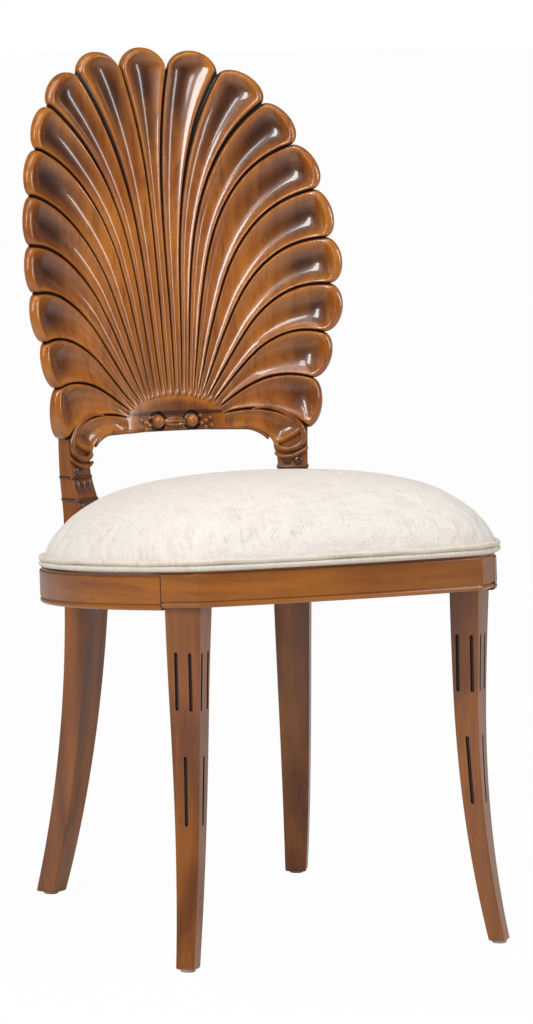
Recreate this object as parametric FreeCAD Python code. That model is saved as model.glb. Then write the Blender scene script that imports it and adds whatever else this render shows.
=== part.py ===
import FreeCAD, Part
import math
import os
from FreeCAD import Vector

os.makedirs("parts", exist_ok=True)

# Scallop back chair: round upholstered seat, sabre legs, back carved as a fluted shell.
# Millimetres, +Z up, the chair faces -Y. Lengths are measured from the middle of the round seat
# and the finished chair is moved along Y at the end, so that its box stands centred on the origin.

# Seat frame
seat_height = 447.0
rail_height = 40.0
rail_thickness = 28.0
side_rail_drop = 2.5
seat_slope = 4.6
corner_x = 177.0
corner_y = 199.0
front_bow = 15.0
seat_half_width = 262.0
seat_widest_y = -3.0
back_bow = 5.0
bead_height = 6.0
bead_groove = 1.6
rabbet = 2.4
rail_trim = 4.0

# Front legs
front_block_width = 46.0
front_leg_turn = 47.0
front_foot_out = 20.0
front_foot_forward = 43.0
front_top_width = 43.0
front_top_depth = 35.0
front_foot_width = 22.0
front_foot_depth = 19.5
front_leg_inset = 1.5
front_sweep_heights = [40.0, 85.0, 140.0, 200.0, 270.0, 340.0]

# Rear legs, one piece with the stiles that carry the back
leg_sweep_top = 400.0
rear_leg_x = 134.6
rear_leg_y = 225.8
rear_leg_turn = 30.0
rear_foot_out = 28.5
rear_foot_backward = 49.0
rear_top_width = 45.5
rear_top_depth = 35.7
rear_foot_width = 25.0
rear_foot_depth = 26.5
stile_waist_height = 509.0
stile_waist_width = 36.0
stile_waist_depth = 20.0
stile_turn = 26.5
stile_joint_depth = 17.0
square_zone_above = 22.0
square_zone_below = 42.0
square_zone_ramp = 4.0
shoulder_rise = 35.0
shoulder_out = 1.5
shoulder_back = 7.0
rear_sweep_heights = [40.0, 85.0, 140.0, 200.0, 270.0, 330.0]

# Slots cut in the two outward faces of each front leg
slot_width = 5.5
slot_depth = 2.8
upper_slot_bottom = 289.0
upper_slot_top = 355.0
lower_slot_bottom = 160.0
lower_slot_top = 238.0
slot_spacing = 17.0
slot_reach = 12.0

# Carved shell back
hub_x = 62.5
hub_rise = 29.0
hub_height = 565.0
shell_bottom = 554.0
shell_front_y = 275.4
shell_rake = 0.1855
shell_rake_growth = 0.000084
shell_radius = 305.0
shell_thickness = 20.0
rim_share = 0.15
bowl_share = 0.16
rim_limit = 5.0
lobe_shares = [0.54, 0.50, 0.37, 0.33, 0.31, 0.25, 0.27, 0.28, 0.26, 0.22, 0.08]
edge_thickness = 5.0
thinning_reach = 60.0
thinning_power = 1.8
groove_ten_thinning = 0.35
notch_points = [(31, 979), (92, 976), (138, 941), (164, 892), (182, 839),
                (190, 782), (190, 727), (180, 669), (165, 614), (156, 554)]
groove_starts = [4.5, 13.0, 21.5, 27.5, 32.0, 36.5, 42.0, 50.0, 56.5, 61.0]
leaving_angles = [2, 5, 6, 10, 17, 25, 36, 42, 52, 75]
arriving_angles = [15, 34, 54, 70, 75, 86, 95, 108, 112, 140]
leaving_handle = 0.41
arriving_handle = 0.34
edge_leaving_angle = 88.0
edge_arriving_angle = 168.0
scroll_foot_x = 119.5
scroll_foot_z = 533.0
ball_radius = 7.0
ball_spacing = 41.0
ball_height = 566.0
ball_lift = 5.0
roll_radius = 5.5
hub_lift = 4.0
hub_recess = 1.5
hub_overlap = 1.06
board_seams = [-118.0, -39.0, 39.0, 118.0]

# Dowels
rail_dowel_diameter = 9.0
rail_dowel_length = 38.0
rail_dowel_spacing = 18.0
back_dowel_diameter = 8.0
back_dowel_length = 34.0
back_dowel_lift = -10.0
seam_dowel_diameter = 7.0
seam_dowel_length = 34.0
seam_dowel_heights = [690.0, 790.0, 880.0]
dowel_clearance = 0.1

# Corner braces and their screws
front_brace_length = 96.0
front_brace_depth = 24.0
rear_brace_length = 40.0
rear_brace_depth = 24.0
brace_height = 34.0
brace_clearance = 4.0
screw_diameter = 4.0
screw_head_diameter = 8.5
screw_head_height = 2.6
front_brace_screw_length = 50.0
rear_brace_screw_length = 42.0
brace_screw_spacing = 28.0
rear_brace_screw_shift = 9.0
seat_screw_length = 43.0
rear_seat_screw_shift = 5.5

# Seat pad
pad_front = 214.0
pad_half_width = 263.0
pad_back = 240.0
board_thickness = 12.0
board_inset = 5.5
cover_thickness = 1.5
cover_turn_under = 20.0
pad_crown = 98.0
pad_swell = 3.0
wadding_thickness = 8.0
welt_diameter = 6.4
dust_cover_thickness = 0.8
dust_cover_inset = 24.0
staple_count = 28
staple_width = 10.0
staple_wire = 1.1
staple_leg = 6.0
staple_inset = 14.0

# Glides under the feet
glide_diameter = 17.0
glide_height = 3.0
glide_pin_diameter = 3.0
glide_pin_length = 14.0
glide_round = 1.0

parts = {}
sides = {"left": -1, "right": 1}


def radians(angle):
    return angle * math.pi / 180.0


def turned(x, y, turn):
    """Point (x, y) of a piece's own axes, turned about +Z."""
    c = math.cos(radians(turn))
    s = math.sin(radians(turn))
    return x * c - y * s, x * s + y * c


def rectangle(cx, cy, z, width, depth, turn):
    points = []
    for sx, sy in ((-1, -1), (1, -1), (1, 1), (-1, 1)):
        dx, dy = turned(sx * width / 2.0, sy * depth / 2.0, turn)
        points.append(Vector(cx + dx, cy + dy, z))
    return Part.makePolygon(points + [points[0]])


def block(cx, cy, bottom, top, width, depth, turn):
    face = Part.Face(rectangle(cx, cy, bottom, width, depth, turn))
    return face.extrude(Vector(0, 0, top - bottom))


def sloped(shape):
    """Seat frame pieces are drawn level and tipped to the rear about the front corners."""
    tipped = shape.copy()
    tipped.rotate(Vector(0, -corner_y, seat_height), Vector(1, 0, 0), -seat_slope)
    return tipped


def mirrored(shape):
    return shape.mirror(Vector(0, 0, 0), Vector(1, 0, 0))


def for_side(shape, side):
    return shape if side > 0 else mirrored(shape)


# Plan points of the right half of the seat frame
block_side = turned(front_block_width, 0, front_leg_turn)
outer_corner = (corner_x, -corner_y)
seam_point = (corner_x + block_side[0], -corner_y + block_side[1])
block_inward = turned(0, 1, front_leg_turn)
rail_top = seat_height
rail_bottom = seat_height - rail_height
block_depth = rail_thickness / math.cos(radians(front_leg_turn)) + 2.0
front_block_x = (outer_corner[0] + seam_point[0] + block_inward[0] * block_depth) / 2.0
front_block_y = (outer_corner[1] + seam_point[1] + block_inward[1] * block_depth) / 2.0
rear_outward = turned(1, 0, -rear_leg_turn)
rear_behind = turned(0, 1, -rear_leg_turn)


def rear_block_point(across, back):
    """Point of the rear leg's square zone: across is outward, back is rearward."""
    x = rear_leg_x + rear_outward[0] * across + rear_behind[0] * back
    y = rear_leg_y + rear_outward[1] * across + rear_behind[1] * back
    return x, y


def arc_through(a, b, c, z):
    return Part.Arc(Vector(a[0], a[1], z), Vector(b[0], b[1], z), Vector(c[0], c[1], z)).toShape()


def line_between(a, b, z):
    return Part.LineSegment(Vector(a[0], a[1], z), Vector(b[0], b[1], z)).toShape()


def curved_rail(outer, inner, bottom, height):
    """Outer and inner are start, middle and end points in plan."""
    edges = [arc_through(outer[0], outer[1], outer[2], bottom),
             line_between(outer[2], inner[2], bottom),
             arc_through(inner[2], inner[1], inner[0], bottom),
             line_between(inner[0], outer[0], bottom)]
    return Part.Face(Part.Wire(edges)).extrude(Vector(0, 0, height))


def rail_mouldings(outer, top, bottom):
    """Sunk line above the bottom bead, and the shallow rabbet below the seat."""
    tools = []
    for z, height, sink in ((bottom + bead_height, bead_groove, bead_groove),
                            (top - rabbet, rabbet + 1.0, rabbet)):
        grown = [(p[0] * 1.05, p[1] * 1.05) for p in outer]
        sunk = []
        for p in outer:
            length = math.hypot(p[0], p[1])
            sunk.append((p[0] * (1 - sink / length), p[1] * (1 - sink / length)))
        tools.append(curved_rail(grown, sunk, z, height))
    return tools


def front_rail_plan():
    reach = rail_thickness / block_inward[1]
    inner_corner = (outer_corner[0] + block_inward[0] * reach,
                    outer_corner[1] + block_inward[1] * reach)
    outer = [(-corner_x, -corner_y), (0, -corner_y - front_bow), outer_corner]
    inner = [(-inner_corner[0], inner_corner[1]),
             (0, -corner_y - front_bow + rail_thickness), inner_corner]
    return outer, inner


def side_rail_plan(extra=0.0):
    """Extra runs the rear end on into the leg, which then trims it."""
    inner_start = (seam_point[0] + block_inward[0] * rail_thickness,
                   seam_point[1] + block_inward[1] * rail_thickness)
    outer = [seam_point, (seat_half_width, seat_widest_y),
             rear_block_point(rear_top_width / 2.0 - extra, rail_thickness / 2.0)]
    inner = [inner_start, (seat_half_width - rail_thickness, seat_widest_y),
             rear_block_point(rear_top_width / 2.0 - extra, -rail_thickness / 2.0)]
    return outer, inner


def rear_rail_plan(extra=0.0):
    front = rear_block_point(extra - rear_top_width / 2.0, -rear_top_depth / 2.0)
    behind = rear_block_point(extra - rear_top_width / 2.0, -rear_top_depth / 2.0 + rail_thickness)
    outer = [behind, (0, behind[1] + back_bow), (-behind[0], behind[1])]
    inner = [front, (0, behind[1] + back_bow - rail_thickness), (-front[0], front[1])]
    return outer, inner


def rail_dowel_axes():
    """Middle and direction in plan of the dowels at the four rail ends of the right half."""
    axes = []
    front_outer, front_inner = front_rail_plan()
    side_outer, side_inner = side_rail_plan()
    rear_outer, rear_inner = rear_rail_plan()
    joints = [(front_outer[2], front_inner[2], turned(1, 0, front_leg_turn)),
              (side_outer[0], side_inner[0], turned(1, 0, front_leg_turn)),
              (side_outer[2], side_inner[2], rear_outward),
              (rear_outer[0], rear_inner[0], rear_outward)]
    for a, b, direction in joints:
        middle = ((a[0] + b[0]) / 2.0, (a[1] + b[1]) / 2.0)
        axes.append((middle, direction))
    return axes


def rail_dowels(diameter, length):
    solids = []
    for middle, direction in rail_dowel_axes():
        for step in (-0.5, 0.5):
            z = (rail_top + rail_bottom) / 2.0 - side_rail_drop / 2.0 + step * rail_dowel_spacing
            start = Vector(middle[0] - direction[0] * length / 2.0,
                           middle[1] - direction[1] * length / 2.0, z)
            dowel = sloped(Part.makeCylinder(diameter / 2.0, length, start,
                                             Vector(direction[0], direction[1], 0)))
            solids.append(dowel)
            solids.append(mirrored(dowel))
    return solids


def cut_all(shape, tools):
    """Cuts only with the tools whose boxes meet the shape."""
    near = [tool for tool in tools if shape.BoundBox.intersect(tool.BoundBox)]
    return shape.cut(near) if near else shape


def share_of(height, top, power):
    return max(0.0, 1.0 - height / top) ** power


def front_leg_section(z):
    """Centre and size of a front leg at a height; it sweeps forward and outward to the foot."""
    x = front_block_x - front_leg_inset + front_foot_out * share_of(z, 300.0, 2.3)
    y = front_block_y - front_leg_inset - front_foot_forward * share_of(z, leg_sweep_top, 2.2)
    rise = min(1.0, z / leg_sweep_top)
    width = front_foot_width + (front_top_width - front_foot_width) * rise ** 1.15
    depth = front_foot_depth + (front_top_depth - front_foot_depth) * rise ** 1.3
    return x, y, width, depth


def slot_tool(height_low, height_high, face, offset):
    """Round-ended slot along one outward face, cut along the leg's own line."""
    centres = []
    for z in (height_low + slot_width / 2.0, height_high - slot_width / 2.0):
        x, y, width, depth = front_leg_section(z)
        if face == "outer":
            dx, dy = turned(offset, -depth / 2.0, front_leg_turn)
            normal = turned(0, -1, front_leg_turn)
        else:
            dx, dy = turned(-width / 2.0, -offset, front_leg_turn)
            normal = turned(-1, 0, front_leg_turn)
        centres.append(Vector(x + dx - normal[0] * slot_depth, y + dy - normal[1] * slot_depth, z))
    along = centres[1] - centres[0]
    along.normalize()
    across = Vector(normal[0], normal[1], 0).cross(along)
    across.normalize()
    half = across * (slot_width / 2.0)
    end = along * (slot_width / 2.0)
    low, high = centres
    edges = [Part.Arc(low + half, low - end, low - half).toShape(),
             Part.LineSegment(low - half, high - half).toShape(),
             Part.Arc(high - half, high + end, high + half).toShape(),
             Part.LineSegment(high + half, low + half).toShape()]
    return Part.Face(Part.Wire(edges)).extrude(along.cross(across) * slot_reach)


def front_leg():
    wires = []
    for z in [glide_height] + front_sweep_heights + [rail_bottom + 1.0]:
        x, y, width, depth = front_leg_section(z)
        wires.append(rectangle(x, y, z, width, depth, front_leg_turn))
    shaft = Part.makeLoft(wires, True, False)
    head = sloped(block(front_block_x, front_block_y, rail_bottom, rail_top,
                        front_block_width, block_depth, front_leg_turn))
    for z, height, sink in ((rail_bottom + bead_height, bead_groove, bead_groove),
                            (rail_top - rabbet, rabbet + 1.0, rabbet)):
        dx, dy = turned(0, -block_depth / 2.0, front_leg_turn)
        groove = block(front_block_x + dx, front_block_y + dy, z, z + height,
                       front_block_width + 2.0, 2.0 * sink, front_leg_turn)
        head = head.cut(sloped(groove))
    slots = []
    for face in ("outer", "side"):
        slots.append(slot_tool(upper_slot_bottom, upper_slot_top, face, -slot_spacing / 2.0))
        slots.append(slot_tool(upper_slot_bottom, upper_slot_top, face, slot_spacing / 2.0))
        slots.append(slot_tool(lower_slot_bottom, lower_slot_top, face, 0.0))
    return shaft.cut(slots).fuse(head)


def rear_leg_section(z):
    x = rear_leg_x + rear_foot_out * share_of(z, leg_sweep_top, 1.8)
    y = rear_leg_y + rear_foot_backward * share_of(z, leg_sweep_top, 2.45)
    rise = min(1.0, z / leg_sweep_top)
    width = rear_foot_width + (rear_top_width - rear_foot_width) * rise ** 0.8
    depth = rear_foot_depth + (rear_top_depth - rear_foot_depth) * rise ** 2.2
    return x, y, width, depth


# The joint between stile and shell is one slanted plane across the foot of the scroll
scroll_outer = notch_points[-1]
joint_slant = math.degrees(math.atan2(scroll_outer[1] - scroll_foot_z,
                                      scroll_outer[0] - scroll_foot_x))


def below_joint():
    """Large box under the slanted joint plane of the right-hand stile."""
    size = 260.0
    box = Part.makeBox(size, size, size, Vector(-size * 0.4, -size / 2.0, -size))
    box.rotate(Vector(0, 0, 0), Vector(0, 1, 0), -joint_slant)
    box.translate(Vector(scroll_foot_x, shell_front_y, scroll_foot_z))
    return box


def shell_y(x, z):
    """Front reference surface of the back: raked, bowing rearward, hollow across."""
    rise = z - hub_height
    centre = shell_front_y + shell_rake * rise + shell_rake_growth * rise * rise
    return centre - (shell_radius - math.sqrt(shell_radius ** 2 - x * x))


def shell_point(x, z, lift):
    """Lift is the height in front of the reference surface."""
    toward_x = -x / shell_radius
    toward_y = -math.sqrt(shell_radius ** 2 - x * x) / shell_radius
    return Vector(x + toward_x * lift, shell_y(x, z) + toward_y * lift, z)


def stile_section(z, width, depth):
    """Section whose middle follows the shell's own curve."""
    x = (scroll_foot_x + scroll_outer[0]) / 2.0
    middle = shell_point(x, z, -depth / 2.0)
    return rectangle(middle.x, middle.y, z, width, depth, -stile_turn)


def square_section(z):
    return rectangle(rear_leg_x, rear_leg_y, z, rear_top_width, rear_top_depth, -rear_leg_turn)


def rear_leg():
    """Sabre leg, the square part that takes the rails, and the stile up to the slanted joint."""
    wires = []
    zone_bottom = rail_bottom - square_zone_below
    zone_top = rail_top - square_zone_above
    for z in [glide_height] + rear_sweep_heights + [zone_bottom]:
        x, y, width, depth = rear_leg_section(z)
        wires.append(rectangle(x, y, z, width, depth, -rear_leg_turn))
    shaft = Part.makeLoft(wires, True, False)
    zone = Part.makeLoft([wires[-1], square_section(zone_bottom + square_zone_ramp),
                          square_section(zone_top)], True, True)
    joint_width = (scroll_outer[0] - scroll_foot_x) / math.cos(radians(joint_slant)) + 0.5
    shoulder = rectangle(rear_leg_x + shoulder_out, rear_leg_y + shoulder_back, zone_top + shoulder_rise,
                         rear_top_width - 2.0 * shoulder_out, rear_top_depth - shoulder_back - 1.0,
                         -rear_leg_turn)
    upper = Part.makeLoft([square_section(zone_top), shoulder,
                           stile_section(stile_waist_height, stile_waist_width, stile_waist_depth),
                           stile_section(scroll_foot_z, joint_width, stile_joint_depth),
                           stile_section(scroll_outer[1] + 6.0, joint_width, stile_joint_depth)], True, False)
    return shaft.fuse([zone, upper.common(below_joint())])


def bezier(points, t):
    u = 1.0 - t
    weights = [u ** 3, 3 * t * u * u, 3 * t * t * u, t ** 3]
    x = sum(weight * point[0] for weight, point in zip(weights, points))
    z = sum(weight * point[1] for weight, point in zip(weights, points))
    return x, z


def groove_curve(index):
    """Groove number 1 to 10 counts outward from the middle; 11 is the shell's bottom edge."""
    if index == 11:
        start = (hub_x, shell_bottom)
        end = (scroll_foot_x, scroll_foot_z)
        leave, arrive = edge_leaving_angle, edge_arriving_angle
    else:
        x = groove_starts[index - 1]
        start = (x, hub_height + hub_rise * math.sqrt(1.0 - (x / hub_x) ** 2))
        end = notch_points[index - 1]
        leave, arrive = leaving_angles[index - 1], arriving_angles[index - 1]
    length = math.hypot(end[0] - start[0], end[1] - start[1])
    a = radians(leave)
    b = radians(arrive)
    out = leaving_handle * length
    back = arriving_handle * length
    first = (start[0] + out * math.sin(a), start[1] + out * math.cos(a))
    second = (end[0] - back * math.sin(b), end[1] - back * math.cos(b))
    return [start, first, second, end]


def signed_groove(index):
    """Negative numbers are the left-hand grooves."""
    points = groove_curve(abs(index))
    return [(math.copysign(1, index) * x, z) for x, z in points]


# Where the rows and columns of a flute's net lie, as shares of its length and width
along_steps = [0.0, 0.1, 0.24, 0.4, 0.56, 0.7, 0.82, 0.92, 0.97, 1.0]
across_steps = [0.0, 0.07, 0.2, 0.5, 0.8, 0.93, 1.0]
bowl_end = 0.86


def smooth_step(value):
    v = min(1.0, max(0.0, value))
    return v * v * (3.0 - 2.0 * v)


def thinning_at(index):
    """How far the back is thinned at a groove's end; the stiles need the full thickness."""
    return {10: groove_ten_thinning, 11: 0.0}.get(abs(index), 1.0)


def flute_nets(left, right):
    """Poles of a flute's front and back faces, rows along the flute and columns across it."""
    lobe = lobe_shares[max(abs(left), abs(right)) - 1 if left * right > 0 else 0]
    a_curve = signed_groove(left)
    b_curve = signed_groove(right)
    a_end = a_curve[3]
    b_end = b_curve[3]
    chord = math.hypot(b_end[0] - a_end[0], b_end[1] - a_end[1])
    outward = (-(b_end[1] - a_end[1]) / chord, (b_end[0] - a_end[0]) / chord)
    front = []
    back = []
    for t in along_steps:
        a = bezier(a_curve, t)
        b = bezier(b_curve, t)
        width = math.hypot(b[0] - a[0], b[1] - a[1])
        rim = min(rim_limit, rim_share * width)
        bowl = bowl_share * width * (1.0 - smooth_step((t - bowl_end) / 0.12))
        swell = lobe * chord * smooth_step((t - 0.5) / 0.5)
        a_rest = math.hypot(a_end[0] - a[0], a_end[1] - a[1])
        b_rest = math.hypot(b_end[0] - b[0], b_end[1] - b[1])
        front_row = []
        back_row = []
        for w in across_steps:
            round_share = math.sqrt(max(0.0, 4.0 * w * (1.0 - w)))
            x = a[0] + (b[0] - a[0]) * w + outward[0] * swell * round_share
            z = a[1] + (b[1] - a[1]) * w + outward[1] * swell * round_share
            edge = abs(2.0 * w - 1.0)
            lift = 0.0
            if 0.0 < w < 1.0:
                lift = rim * edge ** 2 - bowl * (1.0 - edge ** 2)
                lift += rim * smooth_step((t - bowl_end) / 0.1) * (1.0 - edge ** 2)
            if t == 1.0:
                lift = lift * 0.5
            front_row.append(shell_point(x, z, lift))
            rest = a_rest * (1.0 - w) + b_rest * w + (lobe * chord - swell) * round_share
            near_edge = max(0.0, 1.0 - rest / thinning_reach) ** thinning_power
            share = thinning_at(left) * (1.0 - w) + thinning_at(right) * w
            thinning = (shell_thickness - edge_thickness) * share * near_edge
            back_row.append(shell_point(x, z, thinning - shell_thickness))
        front.append(front_row)
        back.append(back_row)
    return front, back


def clamped_knots(count, degree):
    inner = count - degree - 1
    knots = [float(i) for i in range(inner + 2)]
    mults = [degree + 1] + [1] * inner + [degree + 1]
    return knots, mults


def net_face(net):
    rows = len(net)
    columns = len(net[0])
    row_degree = min(3, rows - 1)
    column_degree = min(3, columns - 1)
    u_knots, u_mults = clamped_knots(rows, row_degree)
    v_knots, v_mults = clamped_knots(columns, column_degree)
    surface = Part.BSplineSurface()
    surface.buildFromPolesMultsKnots(net, u_mults, v_mults, u_knots, v_knots,
                                     False, False, row_degree, column_degree)
    return surface.toShape()


def shell_faces():
    """All flutes side by side, sharing their groove lines."""
    indices = [-11] + [-i for i in range(10, 0, -1)] + list(range(1, 12))
    faces = []
    for number in range(len(indices) - 1):
        left = indices[number]
        right = indices[number + 1]
        front, back = flute_nets(left, right)
        faces.append(net_face(front))
        faces.append(net_face(back))
        faces.append(net_face([front[-1], back[-1]]))
        faces.append(net_face([front[0], back[0]]))
        if left == -11:
            faces.append(net_face([[row[0] for row in front], [row[0] for row in back]]))
        if right == 11:
            faces.append(net_face([[row[-1] for row in front], [row[-1] for row in back]]))
    return faces


def hub_line(z, shares, lift):
    """Points across the hub at one height, on the shell's own curve."""
    return [shell_point(share * hub_x, z, lift) for share in shares]


def hub_plug():
    """Smooth half-round plate that the flutes spring from."""
    wide = hub_overlap * hub_x
    tall = hub_overlap * hub_rise
    steps = 12
    outline = []
    for i in range(steps + 1):
        angle = math.pi * i / steps
        outline.append(Vector(wide * math.cos(angle), 0, hub_height + tall * math.sin(angle)))
    arch = Part.BSplineCurve()
    arch.interpolate(outline)
    corners = [outline[-1], Vector(-wide, 0, shell_bottom), Vector(wide, 0, shell_bottom), outline[0]]
    edges = [arch.toShape()]
    for a, b in zip(corners[:-1], corners[1:]):
        edges.append(Part.LineSegment(a, b).toShape())
    prism = Part.Face(Part.Wire(edges)).extrude(Vector(0, 2.0 * shell_front_y, 0))
    shares = [-1.15, -0.6, 0.0, 0.6, 1.15]
    wires = []
    for z in (shell_bottom - 4.0, hub_height, hub_height + 18.0, hub_height + 36.0):
        front_points = hub_line(z, shares, hub_lift)
        rear_points = hub_line(z, shares[::-1], hub_recess - shell_thickness)
        front = Part.BSplineCurve()
        front.interpolate(front_points)
        rear = Part.BSplineCurve()
        rear.interpolate(rear_points)
        one_end = Part.LineSegment(front_points[-1], rear_points[0]).toShape()
        other_end = Part.LineSegment(rear_points[-1], front_points[0]).toShape()
        wires.append(Part.Wire([front.toShape(), one_end, rear.toShape(), other_end]))
    return Part.makeLoft(wires, True, False).common(prism)


def hub_ornament():
    """Two balls with a roll between them."""
    pieces = []
    for side in (-1, 1):
        centre = shell_point(side * ball_spacing / 2.0, ball_height, ball_lift)
        pieces.append(Part.makeSphere(ball_radius, centre))
    length = ball_spacing - ball_radius
    knot = shell_point(0.0, ball_height - 2.0, 2.0)
    pieces.append(Part.makeCylinder(roll_radius, length, Vector(-length / 2.0, knot.y, knot.z),
                                    Vector(1, 0, 0)))
    return pieces


def sewn_shell():
    shell = Part.makeShell(shell_faces())
    shell.sewShape()
    solid = Part.makeSolid(shell)
    if solid.Volume < 0:
        solid.reverse()
    return solid


def carved_back():
    solid = sewn_shell()
    solid = solid.fuse([hub_plug()] + hub_ornament())
    tool = below_joint()
    return solid.cut([tool, mirrored(tool)])


def back_boards(back):
    names = ["left_outer", "left_inner", "centre", "right_inner", "right_outer"]
    limits = [-260.0] + board_seams + [260.0]
    boards = {}
    for number, name in enumerate(names):
        low = limits[number]
        slab = Part.makeBox(limits[number + 1] - low, 400.0, 700.0, Vector(low, 100.0, 450.0))
        boards["back_board_" + name] = back.common(slab)
    return boards


def stile_dowels(diameter, length):
    solids = []
    middle_x = (scroll_foot_x + scroll_outer[0]) / 2.0
    middle_z = (scroll_foot_z + scroll_outer[1]) / 2.0
    direction = Vector(0, shell_rake, 1).normalize()
    for offset in (-9.0, 9.0):
        middle = shell_point(middle_x + offset, middle_z, back_dowel_lift)
        start = middle - direction * (length / 2.0)
        dowel = Part.makeCylinder(diameter / 2.0, length, start, direction)
        solids.append(dowel)
        solids.append(mirrored(dowel))
    return solids


def seam_dowels(diameter, length):
    solids = []
    for seam in board_seams:
        for z in seam_dowel_heights:
            middle = shell_point(seam, z, -shell_thickness * 0.6)
            slope = seam / shell_radius
            direction = Vector(math.sqrt(1.0 - slope * slope), -slope, 0)
            start = middle - direction * (length / 2.0)
            solids.append(Part.makeCylinder(diameter / 2.0, length, start, direction))
    return solids


def pad_outline(offset, z, scale=1.0):
    """Smooth closed outline of the seat pad; offset grows it and scale draws it in to the crown."""
    right = [(75.0, -pad_front + 2.0), (136.0, -pad_front + 8.0), (corner_x - 3.0, -corner_y + 3.0),
             (seam_point[0] - 2.0, seam_point[1] - 1.0), (pad_half_width - 15.0, -88.0),
             (pad_half_width, seat_widest_y), (pad_half_width - 17.0, 88.0), (pad_half_width - 63.0, 150.0),
             (150.0, pad_back - 53.0), (120.0, pad_back - 37.0), (62.0, pad_back - 14.0)]
    points = [(0.0, -pad_front)] + right + [(0.0, pad_back)]
    points += [(-x, y) for x, y in reversed(right)]
    placed = []
    for x, y in points:
        length = math.hypot(x, y)
        grow = (length + offset) / length * scale
        placed.append(Vector(x * grow, y * grow, z))
    curve = Part.BSplineCurve()
    curve.interpolate(placed, PeriodicFlag=True)
    return Part.Wire(curve.toShape())


def pad_slab(offset, bottom, top):
    return Part.Face(pad_outline(offset, bottom)).extrude(Vector(0, 0, top - bottom))


def pad_dome(offset, bottom, crown):
    """Crowned body of the pad from its base plane up to the crown height."""
    wires = []
    for share in (0.0, 0.14, 0.3, 0.48, 0.66, 0.82, 0.94, 0.98, 0.996):
        scale = (1.0 - share ** 2.1) ** (1.0 / 2.7)
        swell = pad_swell * math.sin(math.pi * min(1.0, share / 0.5))
        wires.append(pad_outline(offset + swell, bottom + share * (crown - bottom), scale))
    return Part.makeLoft(wires, True, False)


board_bottom = rail_top + cover_thickness
board_top = board_bottom + board_thickness
crown_height = rail_top + pad_crown


def staples(grow):
    """Wire staples that hold the turned-under cover to the board."""
    solids = []
    wire = pad_outline(-staple_inset, rail_top)
    size = staple_wire + grow
    low = rail_top + 0.2
    for number in range(staple_count):
        angle = 2.0 * math.pi * (number + 0.5) / staple_count
        reach = 2.0 * pad_half_width
        far = Vector(reach * math.cos(angle), reach * math.sin(angle), rail_top)
        ray = Part.LineSegment(Vector(0, 0, rail_top), far).toShape()
        point = wire.distToShape(ray)[1][0][0]
        turn = math.degrees(math.atan2(point.y, point.x)) + 90.0
        crown = block(point.x, point.y, low, low + size, staple_width + size, size, turn)
        legs = []
        for shift in (-staple_width / 2.0, staple_width / 2.0):
            dx, dy = turned(shift, 0, turn)
            legs.append(block(point.x + dx, point.y + dy, low, board_bottom + staple_leg,
                              size, size, turn))
        solids.append(crown.fuse(legs))
    return solids


def screw(head, direction, length):
    """Countersunk wood screw, its head at the given point."""
    shank = Part.makeCylinder(screw_diameter / 2.0, length, head, direction)
    cone = Part.makeCone(screw_head_diameter / 2.0, screw_diameter / 2.0, screw_head_height,
                         head, direction)
    return shank.fuse(cone)


brace_bottom = rail_bottom + brace_clearance
brace_middle = brace_bottom + brace_height / 2.0
front_brace_offset = turned(0, (block_depth + front_brace_depth) / 2.0, front_leg_turn)
front_brace_centre = (front_block_x + front_brace_offset[0], front_block_y + front_brace_offset[1])
rear_brace_centre = rear_block_point(rear_top_width / 2.0 - rear_brace_length / 2.0 + 6.0,
                                     -(rear_top_depth + rear_brace_depth) / 2.0)


def inside_frame():
    """Room inside the right half of the seat frame, for fitting the braces."""
    side_outer, side_inner = side_rail_plan()
    front_outer, front_inner = front_rail_plan()
    right = curved_rail(side_inner, [(-1.0, side_inner[0][1]), (-2.0, 0.0), (-1.0, side_inner[2][1])],
                        rail_bottom, rail_height)
    front = curved_rail([front_inner[0], front_inner[1], front_inner[2]],
                        [(front_inner[0][0], 0.0), (0.0, 1.0), (front_inner[2][0], 0.0)],
                        rail_bottom, rail_height)
    corner = Part.Face(Part.makePolygon([Vector(front_inner[2][0], front_inner[2][1], rail_bottom),
                                         Vector(side_inner[0][0], side_inner[0][1], rail_bottom),
                                         Vector(0, side_inner[0][1], rail_bottom),
                                         Vector(front_inner[2][0], front_inner[2][1], rail_bottom)]))
    return right.fuse([front, corner.extrude(Vector(0, 0, rail_height))])


def front_brace():
    """Wooden brace across the front corner, glued and screwed to the leg's square head."""
    body = block(front_brace_centre[0], front_brace_centre[1], brace_bottom, brace_bottom + brace_height,
                 front_brace_length, front_brace_depth, front_leg_turn)
    return body.common(inside_frame())


def rear_brace():
    """Glue block in the corner of the side rail and the rear leg."""
    body = block(rear_brace_centre[0], rear_brace_centre[1], brace_bottom, brace_bottom + brace_height,
                 rear_brace_length, rear_brace_depth, -rear_leg_turn)
    return body.common(inside_frame())


def brace_screws():
    screws = []
    outward = Vector(-block_inward[0], -block_inward[1], 0)
    for shift in (-brace_screw_spacing / 2.0, brace_screw_spacing / 2.0):
        dx, dy = turned(shift, front_brace_depth / 2.0, front_leg_turn)
        head = Vector(front_brace_centre[0] + dx, front_brace_centre[1] + dy, brace_middle)
        screws.append(screw(head, outward, front_brace_screw_length))
    dx, dy = turned(-rear_brace_screw_shift, -rear_brace_depth / 2.0, -rear_leg_turn)
    head = Vector(rear_brace_centre[0] + dx, rear_brace_centre[1] + dy, brace_middle)
    screws.append(screw(head, Vector(rear_behind[0], rear_behind[1], 0), rear_brace_screw_length))
    return [sloped(item) for item in screws]


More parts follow.
